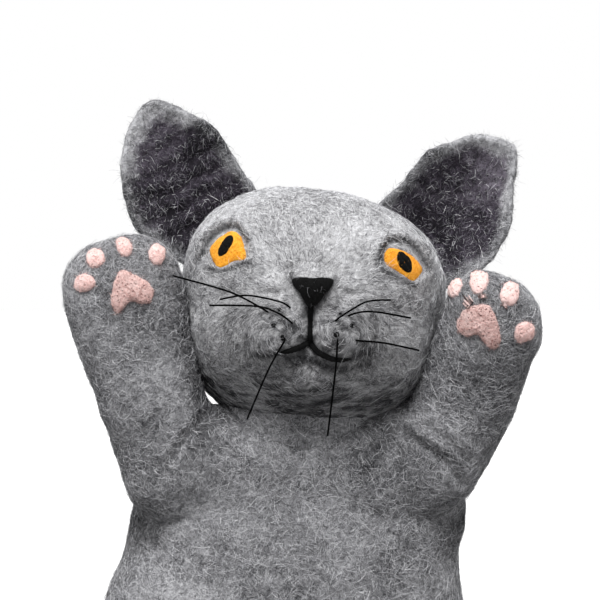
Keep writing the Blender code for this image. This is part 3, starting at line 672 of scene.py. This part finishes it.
def zone_of(points_by_corner):
    """Which skin piece a face belongs to, from its corners: 0 lower, 1 chest, then shoulder and arm for each side."""
    low = (points_by_corner[:, :, 2] < WAIST_BEND[1]).any(1)
    zone = np.ones(len(points_by_corner), int)
    flat = points_by_corner.reshape(-1, 3)
    for k, arm in enumerate(ARMS):
        shoulder = (arm.shoulder_share(flat) > 0).reshape(points_by_corner.shape[:2]).any(1)
        elbow = (arm.elbow_share(flat) > 0).reshape(points_by_corner.shape[:2]).any(1)
        beside = (flat[:, 0] * arm.side > 0).reshape(points_by_corner.shape[:2]).all(1)
        zone[shoulder & beside] = 2 + 2 * k
        zone[shoulder & elbow & beside] = 3 + 2 * k
    zone[low] = 0
    return zone


def bind(obj, zone):
    """Hang a skin or fibre piece of the chest on the torso; the pieces of the other zones keep their place, baked
    into their meshes.
    """
    if zone == 0:
        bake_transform(obj)
    elif zone == 1:
        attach(obj, "torso")
    else:
        if zone % 2 == 0:
            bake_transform(obj)
        else:
            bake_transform(obj)


# the skin's pieces in the order of their zones, with the nodes that each stands for and its count of fibres
ZONES = {
    "glove_lower": (("skirt",), 33000),
    "glove_chest": (("torso",), 24000),
    "left_shoulder_felt": ((), 9500),
    "left_sleeve_felt": (("left_upper_arm", "left_forearm"), 24000),
    "right_shoulder_felt": ((), 9500),
    "right_sleeve_felt": (("right_upper_arm", "right_forearm"), 22000),
}


def split_skin(mesh):
    """Cut the skin, with its felt wall, into its pieces, keeping one smooth shading over all of them."""
    holder = linked("skin", mesh)
    wall = holder.modifiers.new("felt", "SOLIDIFY")
    wall.thickness, wall.offset = WALL, -1
    whole = applied(holder)
    co, no = vertices_of(whole), normals_of(whole)
    co[:, 2] = np.maximum(co[:, 2], 0)
    counts = np.zeros(len(whole.polygons), np.int32)
    whole.polygons.foreach_get("loop_total", counts)
    index = np.zeros(len(whole.loops), np.int32)
    whole.loops.foreach_get("vertex_index", index)
    starts = np.concatenate([[0], np.cumsum(counts)])
    quads = np.array([[index[s + min(k, c - 1)] for k in range(4)] for s, c in zip(starts, counts)])
    zones = zone_of(co[quads])
    for zone, (name, (nodes, _)) in enumerate(ZONES.items()):
        chosen = np.nonzero(zones == zone)[0]
        used = np.unique(quads[chosen])
        place = np.full(len(co), -1)
        place[used] = np.arange(len(used))
        faces = [[int(place[i]) for i in index[starts[f]:starts[f + 1]]] for f in chosen]
        obj = new_object(name, co[used], faces, GREY)
        obj.data.normals_split_custom_set_from_vertices([tuple(v) for v in no[used]])
        # painted shade on the glove, darkest where the arms and the chin meet it
        set_shade_and_dark_wool(obj.data, skin_painted_shade(co[used]))
        bind(obj, zone)
        if nodes:
            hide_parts(*nodes)


def skin_fibres(surface, rng):
    """Matted wool over the outside of the glove, in the same pieces as the skin."""
    every = surface.tris
    zones = zone_of(surface.verts[every])
    for zone, (name, (_, count)) in enumerate(ZONES.items()):
        surface.tris = every[zones == zone]
        points, normals = surface.scatter(count, rng)
        sizes = 4.8, 0.42, 45 if zone in (0, 1) else 20, 0.085
        bind(make_fibres(f"{name}_fibres", points, normals, rng, GREY_TONES, sizes, share=skin_tones), zone)
    surface.tris = every


# ---- head ----

HEAD_ROLL = math.radians(4.8)
HEAD_UP = np.array([math.sin(HEAD_ROLL), 0, math.cos(HEAD_ROLL)])
HEAD_ACROSS = np.array([math.cos(HEAD_ROLL), 0, -math.sin(HEAD_ROLL)])
HEAD = NECK + HEAD_UP * 36.5 * MM + Y * 4 * MM
HEAD_HALF = np.array([53, 49, 50]) * MM
HEAD_POWER, HEAD_FLAT_POWER = 2.4, 2.15  # of its superellipses, seen from the front and from above
# how far the outline stands out from an even one, by direction in degrees round the face
OUTLINE = [
    (-180, 1.005), (-168, 0.975), (-152, 0.956), (-137, 0.968), (-122, 0.95), (-98, 0.935), (-68, 0.94), (-45, 0.968),
    (-26, 0.945), (-7, 0.962), (11, 0.993), (23, 1.008), (37, 0.998), (54, 0.972), (66, 0.962), (76, 0.975),
    (106, 1.0), (120, 1.03), (137, 1.045), (154, 1.04), (166, 1.022), (180, 1.005),
]
# soft mounds on the face: across, up, half width, half height, rise, in mm
MOUNDS = [
    (0.0, -8.0, 34, 27, 3.6), (-12.9, -8.6, 13.4, 13.6, 5.6), (11.4, -7.6, 13.4, 13.6, 5.6), (1.0, -27.0, 15, 9, 2.6),
    (-1.6, 8.0, 11, 11, 3.6), (-1.6, 26, 15, 22, 1.5), (-36, -14, 20, 18, 1.6), (35, -14, 20, 18, 1.6),
]
# pressed lines (negative) and raised ridges on the face: points across and up, half width, rise, in mm
FACE_LINES = [
    ([(-1.6, 2), (-1.2, -5), (-0.8, -10.4)], 1.5, -1.8),
    ([(-0.8, -10.8), (-6, -13.4), (-11, -15.4), (-18, -17.6)], 1.7, -1.6),
    ([(-0.6, -11), (4, -14.4), (9.4, -16.2), (15, -15.8), (20, -13)], 1.7, -1.6),
    ([(-47, 20), (-44, 28), (-37, 33.2), (-30, 31.6), (-25.5, 24)], 1.9, 1.5),
    ([(22, 25), (24.4, 31), (31, 33.6), (39, 30.2), (44, 24)], 1.9, 1.5),
    ([(-46, 20), (-42.4, 26.6), (-36, 31.0), (-31, 29.4), (-28.4, 20)], 0.9, -1.0),
    ([(24.2, 25), (26, 29.8), (32, 30.4), (38, 28), (42, 22)], 0.9, -1.0),
    ([(-43, 14.6), (-37, 14.2), (-31, 16.4), (-27, 19)], 1.3, 0.8),
    ([(25, 19), (31, 16.8), (38, 14.8), (44, 19)], 1.3, 0.8),
    ([(-8, 9), (-13, 6.5), (-19, 6.6)], 1.3, -0.9),
    ([(5, 10), (11, 8.5), (18, 9.6)], 1.3, -0.9),
    ([(20, 7), (23.4, 1), (23.6, -5), (21.5, -12), (17.7, -19.3)], 1.3, -0.9),
    ([(-22, 6), (-26, -1), (-26, -9), (-21, -18)], 1.3, -0.7),
]


def head_point(u, v, ahead=0.0):
    """A point across and up from the head's middle, and in front of it."""
    return HEAD + HEAD_ACROSS * u + HEAD_UP * v - Y * ahead


def from_local(p):
    """Points given across, back and up from the head's middle."""
    return HEAD + p[:, :1] * HEAD_ACROSS + p[:, 1:2] * Y + p[:, 2:] * HEAD_UP


def on_face(points):
    """Points as mm across and up from the head's middle, and how far behind it each is."""
    rel = points - HEAD
    return np.stack([rel @ HEAD_ACROSS / MM, rel @ HEAD_UP / MM], 1), rel[:, 1]


def make_head_mesh():
    bm = bmesh.new()
    bmesh.ops.create_icosphere(bm, subdivisions=7, radius=1)
    mesh = bpy.data.meshes.new("head")
    bm.to_mesh(mesh)
    bm.free()
    d = unit(vertices_of(mesh))
    a = np.abs(d) / HEAD_HALF
    flat = (a[:, 0] ** HEAD_FLAT_POWER + a[:, 1] ** HEAD_FLAT_POWER) ** (HEAD_POWER / HEAD_FLAT_POWER)
    level = (flat + a[:, 2] ** HEAD_POWER) ** (1 / HEAD_POWER)
    p = d / level[:, None]
    angle = np.degrees(np.arctan2(p[:, 2], p[:, 0]))
    angles, shares = np.array(OUTLINE).T
    angles = np.concatenate([angles[:-1] - 360, angles, angles[1:] + 360])
    shares = np.concatenate([shares[:-1], shares, shares[1:]])
    fine = np.linspace(-180, 180, 361)
    even = np.interp(np.linspace(-200, 200, 401), angles, shares)
    even = np.convolve(even, np.ones(25) / 25, "same")[20:381]
    share = np.interp(angle, fine, even)
    towards_edge = np.hypot(d[:, 0], d[:, 2])
    p[:, [0, 2]] *= (1 + (share - 1) * towards_edge)[:, None]
    u, v = p[:, 0] / MM, p[:, 2] / MM
    front = smooth(-d[:, 1] * 2.2)
    rise = np.zeros(len(p))
    for cu, cv, wide, high, tall in MOUNDS:
        off = ((u - cu) / wide) ** 2 + ((v - cv) / high) ** 2
        rise += front * tall * MM * np.clip(1 - off, 0, 1) ** 1.25
    uv = np.stack([u, v], 1)
    for path, half, tall in FACE_LINES:
        far = distance_to_path(uv, curve_through(path, 4))
        rise += front * tall * MM * np.exp(-((far / half) ** 2))
    lumps = 0.55 * MM * noise3(p, 15 * MM, 4) + 0.32 * MM * noise3(p, 6 * MM, 5)
    rise += lumps + 0.18 * MM * noise3(p, 2.6 * MM, 6)
    whorl = front * np.exp(-((u / 30) ** 2) - (((v + 8) / 24) ** 2))
    rise += whorl * 0.30 * MM * noise3(p, 1.9 * MM, 7)
    out = unit(p * np.array([1, 1.15, 1]))
    set_vertices(mesh, from_local(p + out * rise[:, None]))
    return mesh


def head_flow(points):
    """Which way the head's fibres lie: up and out from the nose, and round the muzzle pads."""
    uv, behind = on_face(points)
    u, v = uv.T
    way = np.stack([u + 1.5, v - 6], 1)
    hold = np.full(len(points), 0.62)
    for cu, cv, *_ in MOUNDS[1:3]:  # the muzzle pads
        near = np.exp(-(((u - cu) / 13) ** 2 + ((v - cv) / 13) ** 2))
        swirl = np.stack([-(v - cv), u - cu], 1) * (1 if cu < 0 else -1)
        way = unit(way) * (1 - near)[:, None] + unit(swirl) * near[:, None]
    jaw = smooth((-v - 18) / 12)
    down = np.stack([np.sign(u) * 0.9, np.full(len(u), 0.35)], 1)
    way = unit(way) * (1 - jaw)[:, None] + down * jaw[:, None]
    way[behind > 10 * MM] = [0, 1]
    way = unit(way)
    return way[:, :1] * HEAD_ACROSS + way[:, 1:] * HEAD_UP, hold


# painted shade in the creases over and under the eyes, along the nose's lower edges, and along and under the mouth:
# points across and up, half width, in mm
PAINTED_SHADE_LINES = [
    ([(-46, 19), (-43.4, 25.6), (-38, 30.4), (-33, 31.2), (-28, 27)], 1.4),
    ([(-43, 14.6), (-37, 13.6), (-31, 16.4), (-26.6, 17.6)], 1.0),
    ([(23.4, 22), (24.2, 28), (28, 31.4), (34, 31.2), (40, 26.6), (43, 21)], 1.4),
    ([(24.4, 19.6), (31, 17.0), (37.6, 14.4)], 1.0),
    ([(-9.6, 13), (-3.4, 4), (-1.4, 0)], 1.5), ([(6.6, 14), (1.4, 4), (-1.2, 0)], 1.5),
    ([(-11.4, -15.6), (-17, -17.6), (-22, -17)], 1.5), ([(15.0, -16), (20, -12.4)], 1.5),
    ([(-9, -17.5), (-2, -16.6), (6, -19.4), (13, -19.6)], 2.2),
]


def head_dark_wool_and_shade(points):
    """How dark the head is, from 0 to 1: painted shade in its creases and under the chin, and darker wool in the
    needle flecks on the muzzle, the dashes on the jaw and chin, and round the spots.
    """
    uv, behind = on_face(points)
    u, v = uv.T
    dark = np.zeros(len(points))
    for path, half in PAINTED_SHADE_LINES:
        far = distance_to_path(uv, curve_through(path, 4))
        dark = np.maximum(dark, 0.9 * np.exp(-((far / half) ** 2)))
    for cu, cv, radius in SPOTS["left"] + SPOTS["right"]:
        dark = np.maximum(dark, 0.9 * np.exp(-(np.hypot(u - cu, v - cv) / (1.7 * radius)) ** 2))
    muzzle = np.exp(-(((u + 0.7) / 27) ** 4) - (((v + 8) / 15) ** 4))
    flecks = smooth((noise3(points, 2.1 * MM, 41) - 0.02) / 0.24)
    # darker towards the chin: dashes of dark wool, and painted shade under the chin
    jaw = smooth((-v - 14) / 20)
    dashes = noise3(points * np.array([0.35, 0.35, 1.6]), 1.9 * MM, 42)
    dark = np.maximum(dark, muzzle * (0.10 + 0.72 * flecks))
    dark = np.maximum(dark, jaw * (0.12 + 0.62 * smooth((dashes + 0.04) / 0.3)))
    front = smooth((10 * MM - behind) / (16 * MM))
    # a little more painted shade under the chin, all round the head
    return np.clip(dark * front + 0.10 * jaw, 0, 1)


def head_tones(points):
    # the fibres turn paler towards the brow: painted light from above
    brow = smooth((on_face(points)[0][:, 1] - 4) / 22)
    dark = head_dark_wool_and_shade(points)
    shade = np.clip(0.16 + 0.2 * noise3(points, 5 * MM, 43) - 0.10 * brow, 0.04, 1)
    dark = 1 - (1 - dark) * (1 - shade)
    white = (0.10 + 0.26 * brow) * (1 - dark)
    light = (0.40 + 0.04 * brow) * (1 - dark)
    return np.stack([light, 1 - dark - white - light, dark, white], 1)


# ears: degrees round the head and mm out from it
EARS = {
    "left": [
        (165, -5), (163.5, 10), (162.3, 16.7), (159.4, 26.9), (154.9, 34.5), (147.5, 44.9), (140.8, 51.9),
        (133, 56.4), (129, 49.9), (126.8, 43.5), (123.0, 32.4), (121.8, 20.5), (121.0, 10.2), (118, -5.0),
        (128, -8.0), (140, -8.0), (152, -8.0),
    ],
    "right": [
        (64, -5.0), (60.8, 11.4), (60.6, 19.3), (59.5, 28.3), (56.1, 35.8), (53, 44), (50, 48.7), (45.2, 53.2),
        (41.6, 50.4), (38, 44.3), (31.6, 37.3), (27.8, 33), (23, 25.4), (19.4, 18.5), (16.4, 8), (16, -5),
        (30, -8.0), (40, -8.0), (50, -8.0),
    ],
}
EAR_ROOT = (51, 50)  # mm: half width and half height of the outline that the ears' places are counted from
EAR_THICK, EAR_BACK, EAR_CUP = 3.6, 13, 0.0175  # mm, mm behind the head's middle, and how deep it is cupped


def make_ear(name, edge, rng):
    """A cupped felt ear: dark inside, fading to a grey edge, with its fibres."""
    points = []
    for angle, out in edge:
        c, s = math.cos(math.radians(angle)), math.sin(math.radians(angle))
        root = abs(c / EAR_ROOT[0]) ** HEAD_POWER + abs(s / EAR_ROOT[1]) ** HEAD_POWER
        reach = root ** (-1 / HEAD_POWER) + out
        points.append((reach * c, reach * s))
    outline = curve_through(points, 9, closed=True)
    seed = 11 if name == "left" else 12
    centre = outline.mean(0)
    rough = 0.45 * noise3(in_space(outline), 3.2, seed + 5) + 0.25 * noise3(in_space(outline), 1.3, seed + 6)
    outline = outline + unit(outline - centre) * rough[:, None]
    tip = outline[np.argmax(np.hypot(*outline.T))]
    up = unit(tip - centre)
    sideways = np.array([up[1], -up[0]])
    wrinkle = 0.75 if name == "left" else 0.35
    rows, shades = [], []
    for front, shares in ((1, np.linspace(0.01, 1, 34)), (0, np.linspace(1, 0.01, 20)[1:])):
        for s in shares:
            flat = centre + (outline - centre) * s
            off, rise = (flat - centre) @ sideways, (flat - centre) @ up
            cup = EAR_BACK - EAR_CUP * off**2 - 0.02 * rise
            there = in_space(flat)
            inside = 1 - s**5
            bands = np.sin(2 * math.pi * (rise + 0.05 * off) / 8.6 + 1.7 * noise3(there, 13, seed + 4))
            lengthways = in_space(np.stack([off, rise * 0.35], 1))
            fold = wrinkle * inside * bands + inside * 0.8 * noise3(lengthways, 6.5, seed)
            fold += 0.40 * noise3(there, 3.0, seed + 1) + 0.22 * noise3(there, 1.5, seed + 7)
            lip = 0.8 * math.exp(-(((s - 0.94) / 0.05) ** 2))
            body = EAR_THICK * math.sqrt(max(0.0, 1 - s**12))
            y = cup + 0.8 * fold - (0.5 * body + lip if front else -0.5 * body)
            rows.append(np.stack([flat[:, 0], y, flat[:, 1]], 1))
            ragged = 0.06 * noise3(there, 5, seed + 2) + 0.05 * noise3(there, 2.0, seed + 3)
            shades.append(front * (1 - smooth((s - 0.74 + ragged) / 0.17)) * (1 - 0.35 * smooth((-rise - 16) / 12)))
    shades = np.concatenate(shades)
    world = from_local(np.concatenate(rows) * MM)
    verts, faces = loft(np.split(world, len(rows)))
    ear = new_object(f"{name}_ear_felt", verts, faces, EAR)
    set_shade_and_dark_wool(ear.data, shades)
    fix_normals(ear)
    on_head(ear, "grey_felt", f"{name}_ear", f"{name}_ear_lining")

    nearest = KDTree(len(world))
    for k, at in enumerate(world):
        nearest.insert(at, k)
    nearest.balance()

    def tones(points):
        dark = np.array([shades[nearest.find(at)[1]] for at in points])
        grey = np.pad(mottled(points), ((0, 0), (0, 1)))
        plum = np.array([0.07, 0.14, 0.55, 0.02, 0.26])
        return grey * (1 - dark)[:, None] + plum * dark[:, None]

    points, normals = Surface(ear.data).scatter(15000, rng)
    for part, chosen, slot in (("inner", normals[:, 1] < 0, "ear_felt"), ("outer", normals[:, 1] >= 0, "grey_felt")):
        fuzz = make_fibres(
            f"{name}_ear_{part}_fibres", points[chosen], normals[chosen], rng, GREY_TONES + [("plum", 0.0)],
            (3.0, 0.36, 14, 0.10), loose=0.04, share=tones,
        )
        on_head(fuzz, slot)


# ---- felt laid on the skin ----


PATCH_SINK = 0.5 * MM  # how deep a patch's back lies in the skin


def laid_patch(name, outline, point, surface, edge, rise, material, ragged=0.3, rings=12, seed=1, towards=Y):
    """A needle-felted patch: outline in mm, point(u, v, ahead) gives where the rays towards the skin start.

    edge is how far its rim stands out and rise how much more its middle does, in mm.
    """
    outline = curve_through(outline, 6, closed=True)
    centre = outline.mean(0)
    rough = noise3(in_space(outline), 2.6, seed) + 0.5 * noise3(in_space(outline), 1.0, seed + 1)
    outline = outline + unit(outline - centre) * (ragged * rough)[:, None]
    top, low = [], []
    for k in range(rings + 1):
        s = max(k / rings, 0.02)
        tall = edge * math.sqrt(max(0.0, 1 - s**8)) + rise * (1 - s**2)
        high_row, low_row = [], []
        for q in outline:
            u, v = centre + (q - centre) * s
            at, out = surface.cast(point(u * MM, v * MM, IN_FRONT), towards)
            wave = 0.22 * math.sin(2.6 * u + seed) * math.sin(2.3 * v + 2 * seed)
            high_row.append(at + out * (tall + wave * (1 - s)) * MM)
            low_row.append(at - out * PATCH_SINK)
        top.append(np.array(high_row))
        low.append(np.array(low_row))
    verts, faces = loft(top + low[::-1])
    obj = new_object(name, verts, faces, material)
    fix_normals(obj)
    return obj


def oval(u, v, half_width, half_height, lean=0.0, count=10):
    a = np.arange(count) * 2 * math.pi / count
    p, q = half_width * np.cos(a), half_height * np.sin(a)
    c, s = math.cos(lean), math.sin(lean)
    return np.stack([u + c * p - s * q, v + s * p + c * q], 1)


# toes: across and along the paw from its middle, width, height, in mm, and lean in degrees
TOES = {
    "left": [
        (-12.8, 8.2, 8.8, 7.6, 0), (-5.8, 16.4, 7.2, 7.8, 20), (5.9, 17.8, 6.4, 8.0, 10), (17.4, 11.4, 6.0, 9.4, 0),
    ],
    "right": [
        (-14.4, 3.3, 8.4, 8.0, 20), (-3.8, 14.8, 7.8, 8.2, 15), (8.8, 14.6, 6.6, 8.8, 0), (16.8, 8.0, 5.0, 8.6, 12),
    ],
}
PAW_HEART = {
    "left": [
        (3.4, 8.8), (0.5, 7.7), (-2.5, 3.4), (-4.4, -1.2), (-3.7, -6.5), (0.1, -5.2), (3.4, -3.6), (7.6, -6.0),
        (11.8, -4.6), (12.8, -0.9), (10.2, 3.4), (7.2, 6.4),
    ],
    "right": [
        (5.1, 8.0), (9.4, 5.2), (11.4, -0.3), (10.7, -4.1), (6.3, -6.5), (2.0, -3.8), (-2.2, -6.0), (-5.5, -6.5),
        (-7.1, -2.8), (-4.0, 2.8), (0.8, 7.7),
    ],
}


def make_pads(arm, surface, rng):
    shift_u, shift_v = PAD_SHIFTS[arm.name]

    def point(u, v, ahead):
        return arm.paw_point(-arm.side * (u + shift_u * MM), arm.reach + v + shift_v * MM, ahead)

    def pad(part, node, shape, edge, rise, material, ragged, rings, seed):
        felted = laid_patch(
            f"{arm.name}_{part}", shape, point, surface, edge, rise, material, ragged, rings, seed, arm.paw_deep
        )
        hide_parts(f"{arm.name}_{node}")
        return felted

    made = []
    for number, (u, v, width, height, lean) in enumerate(TOES[arm.name], 1):
        shape = oval(u, v, 0.5 * width, 0.5 * height, math.radians(lean))
        toe = pad(f"toe_felt_{number}", f"toe_pad_{number}", shape, 0.8, 1.0, TOE, 0.55, 12, number)
        made.append((toe, "toe_felt", 420, [("pink", 0.85), ("rose", 0.15)]))
    palm = pad("palm_felt", "palm_pad", PAW_HEART[arm.name], 0.9, 1.2, PAD, 0.5, 20, 7)
    made.append((palm, "pad_felt", 1500, [("pink", 0.66), ("rose", 0.34)]))
    for obj, slot, count, tones in made:
        for piece in (obj, fuzz_front(obj, count, rng, tones, 0.3, (2.0, 0.22, 10, 0.08))):
            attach(piece, f"{arm.name}_forearm")


# the face's felt, yarn and thread: mm across and up from the head's middle
NOSE = [(-9.4, 12.4), (-1.4, 13.6), (6.3, 13.5), (3.0, 6.9), (-1.6, 2.2), (-5.7, 6.7)]
EYES = {
    "left": [
        (-42.6, 20.9), (-41.2, 24.8), (-37.6, 28.0), (-34.3, 29.4), (-30.9, 27.5), (-29.0, 23.2), (-28.2, 18.9),
        (-32.5, 17.9), (-37.5, 15.0), (-40.6, 16.4),
    ],
    "right": [
        (26.6, 27.6), (25.0, 24.4), (26.2, 21.4), (29.0, 20.0), (33.0, 17.9), (37.2, 16.1), (41.0, 20.0),
        (39.4, 23.2), (36.2, 25.8), (31.6, 27.6),
    ],
}
PUPILS = {"left": (-36.6, 23.6, 2.0, 4.8, -28), "right": (33.4, 23.0, 2.5, 4.5, 34)}
SPOTS = {
    "left": [(-13.4, 0.9, 0.8), (-15.1, -5.4, 1.1), (-11.4, -9.8, 1.1)],
    "right": [(8.9, -7.0, 1.1), (14.6, -3.2, 0.8), (9.9, 1.0, 0.6)],
}
# yarn lines also give their radius, and whiskers how far each point stands ahead of the head's middle
YARN = {
    "philtrum": [(-1.5, 3.0, 1.1), (-1.4, -2, 1.0), (-1.0, -6.0, 0.95), (-0.7, -10.4, 1.1)],
    "left_mouth_line": [(-0.4, -10.2, 1.1), (-4.6, -12.7, 1.2), (-8.4, -14.4, 1.05), (-11.4, -15.5, 0.55)],
    "right_mouth_line": [
        (-0.8, -10.6, 1.1), (2.8, -13.9, 1.2), (7.8, -15.8, 1.15), (12.0, -16.2, 0.95), (15.2, -15.7, 0.4),
    ],
}
WHISKERS = {
    "left_whisker_1": [(-18.0, -0.7, 0), (-27.3, 3.8, 53), (-36.4, 6.6, 49), (-55.7, 10.2, 40)],
    "left_whisker_2": [(-9.7, 1.8, 0), (-14.2, 3.8, 58), (-26.5, 5.0, 50), (-36.6, 2.6, 44)],
    "left_whisker_3": [(-8.6, -4.0, 0), (-14.4, -0.4, 62), (-22.7, 1.2, 59), (-40.3, 0.0, 47)],
    "left_whisker_4": [(-10.6, -11.2, 0), (-15.6, -22.4, 56), (-22.3, -42.3, 46)],
    "right_whisker_1": [(8.6, -1.6, 0), (13.7, 2.8, 60), (20.0, 6.6, 55), (28.8, 7.9, 49)],
    "right_whisker_2": [(13.2, 0.4, 0), (17.9, 2.4, 58), (24.4, 2.8, 54), (37.2, 1.6, 45)],
    "right_whisker_3": [(17.4, -8.6, 0), (27.9, -8.8, 49), (41.6, -10.6, 41)],
    "right_whisker_4": [(9.6, -9.6, 0), (9.8, -20.0, 57), (9.0, -46.0, 49)],
}


def tube(name, route, radii, material, sides=8):
    """A thread or yarn through the points of a route."""
    route = np.array(route)
    ways = unit(np.gradient(route, axis=0))
    rows = []
    for at, way, r in zip(route, ways, radii):
        first = unit(np.cross(way, Y if abs(way[1]) < 0.9 else Z))
        rows.append(ring(at, first, np.cross(way, first), r, r, 2, sides))
    verts, faces = loft(rows)
    obj = new_object(name, verts, faces, material)
    fix_normals(obj)
    return obj


def on_head(obj, slot, *nodes):
    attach(obj, "head")
    if nodes:
        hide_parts(*nodes)


def make_face(surface, rng):
    nose = laid_patch("nose_felt", NOSE, head_point, surface, 1.2, 1.5, BLACK, seed=3)
    on_head(nose, "black_felt", "nose")
    # the nose's grey fibres are painted highlights on the curls of its black felt
    felts = [(nose, [("black", 0.86), ("dark", 0.06), ("mid", 0.08)], "black_felt", 700)]
    for side, shape in EYES.items():
        eye = laid_patch(f"{side}_eye_felt", shape, head_point, surface, 0.35, 0.8, AMBER, ragged=0.3, seed=5)
        on_head(eye, "amber_felt", f"{side}_eye")
        felts.append((eye, [("amber", 0.5), ("orange", 0.5)], "amber_felt", 900))
        u, v, wide, high, lean = PUPILS[side]
        slit = oval(u, v, wide, high, math.radians(lean))
        pupil = laid_patch(
            f"{side}_pupil_felt", slit, head_point, Surface(eye.data), 0.3, 0.3, BLACK, ragged=0.25, rings=8, seed=6
        )
        on_head(pupil, "black_felt", f"{side}_pupil")
    for side, spots in SPOTS.items():
        for number, (u, v, radius) in enumerate(spots, 1):
            dot = oval(u, v, radius, radius)
            spot = laid_patch(
                f"{side}_spot_felt_{number}", dot, head_point, surface, 0.12, 0.12, BLACK, 0.5, rings=5, seed=number
            )
            on_head(spot, "black_felt", f"{side}_whisker_spot_{number}")
    for name, points in YARN.items():
        path = curve_through(points, 8)
        route, radii = [], []
        for k, (u, v, r) in enumerate(path):
            at, out = surface.cast(head_point(u * MM, v * MM, IN_FRONT), Y)
            route.append(at + out * 0.45 * r * MM)
            radii.append(r * MM * (1 + 0.12 * math.sin(2.3 * k)))
        line = tube(f"{name}_yarn", route, radii, BLACK, 10)
        on_head(line, "black_thread", name)
        felts.append((line, [("black", 1)], "black_thread", 260))
    for name, (root, *free) in WHISKERS.items():
        at, out = surface.cast(head_point(root[0] * MM, root[1] * MM, IN_FRONT), Y)
        points = [at - out * 1.0 * MM, at + out * 0.6 * MM]
        points += [head_point(u * MM, v * MM, ahead * MM) for u, v, ahead in free]
        route = curve_through(points, 8)
        whisker = tube(f"{name}_thread", route, np.full(len(route), 0.36 * MM), THREAD, 6)
        on_head(whisker, "black_thread", name)
    for obj, tones, slot, count in felts:
        on_head(fuzz_front(obj, count, rng, tones, 0.2, (1.9, 0.2, 12, 0.08)), slot)


# the neck's rings: height, half width, half depth, in mm
NECK_ROWS = [(118, 44, 22), (126, 45, 24), (134, 41, 25), (140, 38, 26), (146, 37, 27), (152, 34, 27), (158, 28, 24)]
NECK_SIDES = 64


def make_neck(rng):
    """The felt between the shoulders and the head, in two lengths."""
    rows, n = curve_through(NECK_ROWS, 4), NECK_SIDES
    for name, first, last, bodies, bend in (
        ("neck_lower_felt", 0, 12, ("torso", "neck"), (126, 140)),
        ("neck_upper_felt", 12, 24, ("neck", "head"), (140, 157)),
    ):
        verts, faces = [], []
        for z, wide, deep in rows[first:last + 1]:
            verts.append(ring(np.array([NECK[0], NECK[1], z * MM]), X, Y, wide * MM, deep * MM, 2, n))
        for k in range(len(verts) - 1):
            faces += [(k * n + i, k * n + (i + 1) % n, (k + 1) * n + (i + 1) % n, (k + 1) * n + i) for i in range(n)]
        co = np.concatenate(verts)
        out = unit((co - NECK) * np.array([1, 1, 0]))
        co = co + out * (0.5 * MM * noise3(co, 8 * MM, 8))[:, None]
        obj = new_object(name, co, faces, GREY)
        points, normals = Surface(obj.data).scatter(3600, rng)
        fuzz = make_fibres(name + "_fibres", points, normals, rng, GREY_TONES, (5, 0.5, 26, 0.10))
        for piece in (obj, fuzz):
            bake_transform(piece)


# ---- build ----


def main():
    rng = np.random.default_rng(20)
    skin = make_skin()
    surface = Surface(skin)
    skin_fibres(surface, rng)
    for arm in ARMS:
        make_pads(arm, surface, rng)
    split_skin(skin)
    make_neck(rng)

    head_mesh = make_head_mesh()
    head_mesh.shade_smooth()
    head_mesh.materials.append(GREY_HEAD)
    head = linked("head_felt", head_mesh)
    on_head(head, "grey_felt", "head_shell", "left_muzzle_pad", "right_muzzle_pad", "chin_pad")
    face = Surface(head_mesh)
    # painted shade in the head's creases and under its chin, and its darker wool
    set_shade_and_dark_wool(head_mesh, head_dark_wool_and_shade(vertices_of(head_mesh)))
    for name, edge in EARS.items():
        make_ear(name, edge, rng)
    make_face(face, rng)

    bare = [np.array(shape) for shape in (NOSE, *EYES.values())]
    lines = [curve_through([point[:2] for point in points], 6) for points in YARN.values()]

    def off_the_felts(centres):
        uv, behind = on_face(centres)
        keep = np.ones(len(centres))
        for shape in bare:
            middle, size = shape.mean(0), (shape.max(0) - shape.min(0)) * 0.5
            keep[(((uv - middle) / (size + 1.2)) ** 2).sum(1) < 1] = 0.0
        for line in lines:
            keep[distance_to_path(uv, line) < 2.7] = 0.0
        keep[behind > 0] = 1.0
        return keep

    for name, count, length, lift in (("head_fibres_a", 26000, 4.8, 0.42), ("head_fibres_b", 33000, 2.6, 0.34)):
        points, normals = face.scatter(count, rng, off_the_felts)
        fuzz = make_fibres(
            name, points, normals, rng, GREY_TONES, (length, lift, 48, 0.09),
            flow=head_flow, loose=0.06, share=head_tones,
        )
        on_head(fuzz, "grey_felt")

    for node, material in (("neck_collar", GREY), ("finger_tube", GREY), ("head_stuffing", WOOL)):
        obj = frame["nodes"][node]
        obj.data.materials.clear()
        obj.data.materials.append(material)


def light_and_camera():
    scene = bpy.context.scene
    scene.view_settings.view_transform = "Standard"
    world = bpy.data.worlds.new("studio")
    scene.world = world
    world.use_nodes = True
    graph = Graph(world.node_tree)
    background = graph.nodes["Background"].inputs
    height = graph.add("SeparateXYZ", [("Vector", graph.add("TexCoord")["Generated"])])["Z"]
    upness = graph.math("MULTIPLY", graph.math("ADD", height, 1.0), 0.5)
    levels = [(0.44, 0.20), (0.49, 1.0), (0.58, 1.0), (0.68, 0.50), (1.0, 0.70)]
    graph.put(graph.ramp(upness, [(at, (grey,) * 3) for at, grey in levels]), background["Color"])
    background["Strength"].default_value = 1.0

    floor = new_object("floor", [(-40, -40, 0), (40, -40, 0), (40, 40, 0), (-40, 40, 0)], [(0, 1, 2, 3)])
    floor.data.materials.append(plain("studio_floor", 0.9, (0.86,) * 3))
    floor.visible_diffuse = False

    sun = bpy.data.lights.new("key", "SUN")
    sun.energy, sun.angle = 3.9, math.radians(34)
    lamp = linked("key", sun)
    lamp.rotation_mode = "QUATERNION"
    lamp.rotation_quaternion = Vector((0.12, 0.56, -1.0)).to_track_quat("-Z", "Y")

    camera = linked("camera", bpy.data.cameras.new("camera"))
    camera.data.lens, camera.data.sensor_width = 150, 36
    camera.location = (-0.001, -1.0, 0.1938)
    camera.rotation_euler = (math.radians(90), 0, 0)
    scene.camera = camera


main()
light_and_camera()
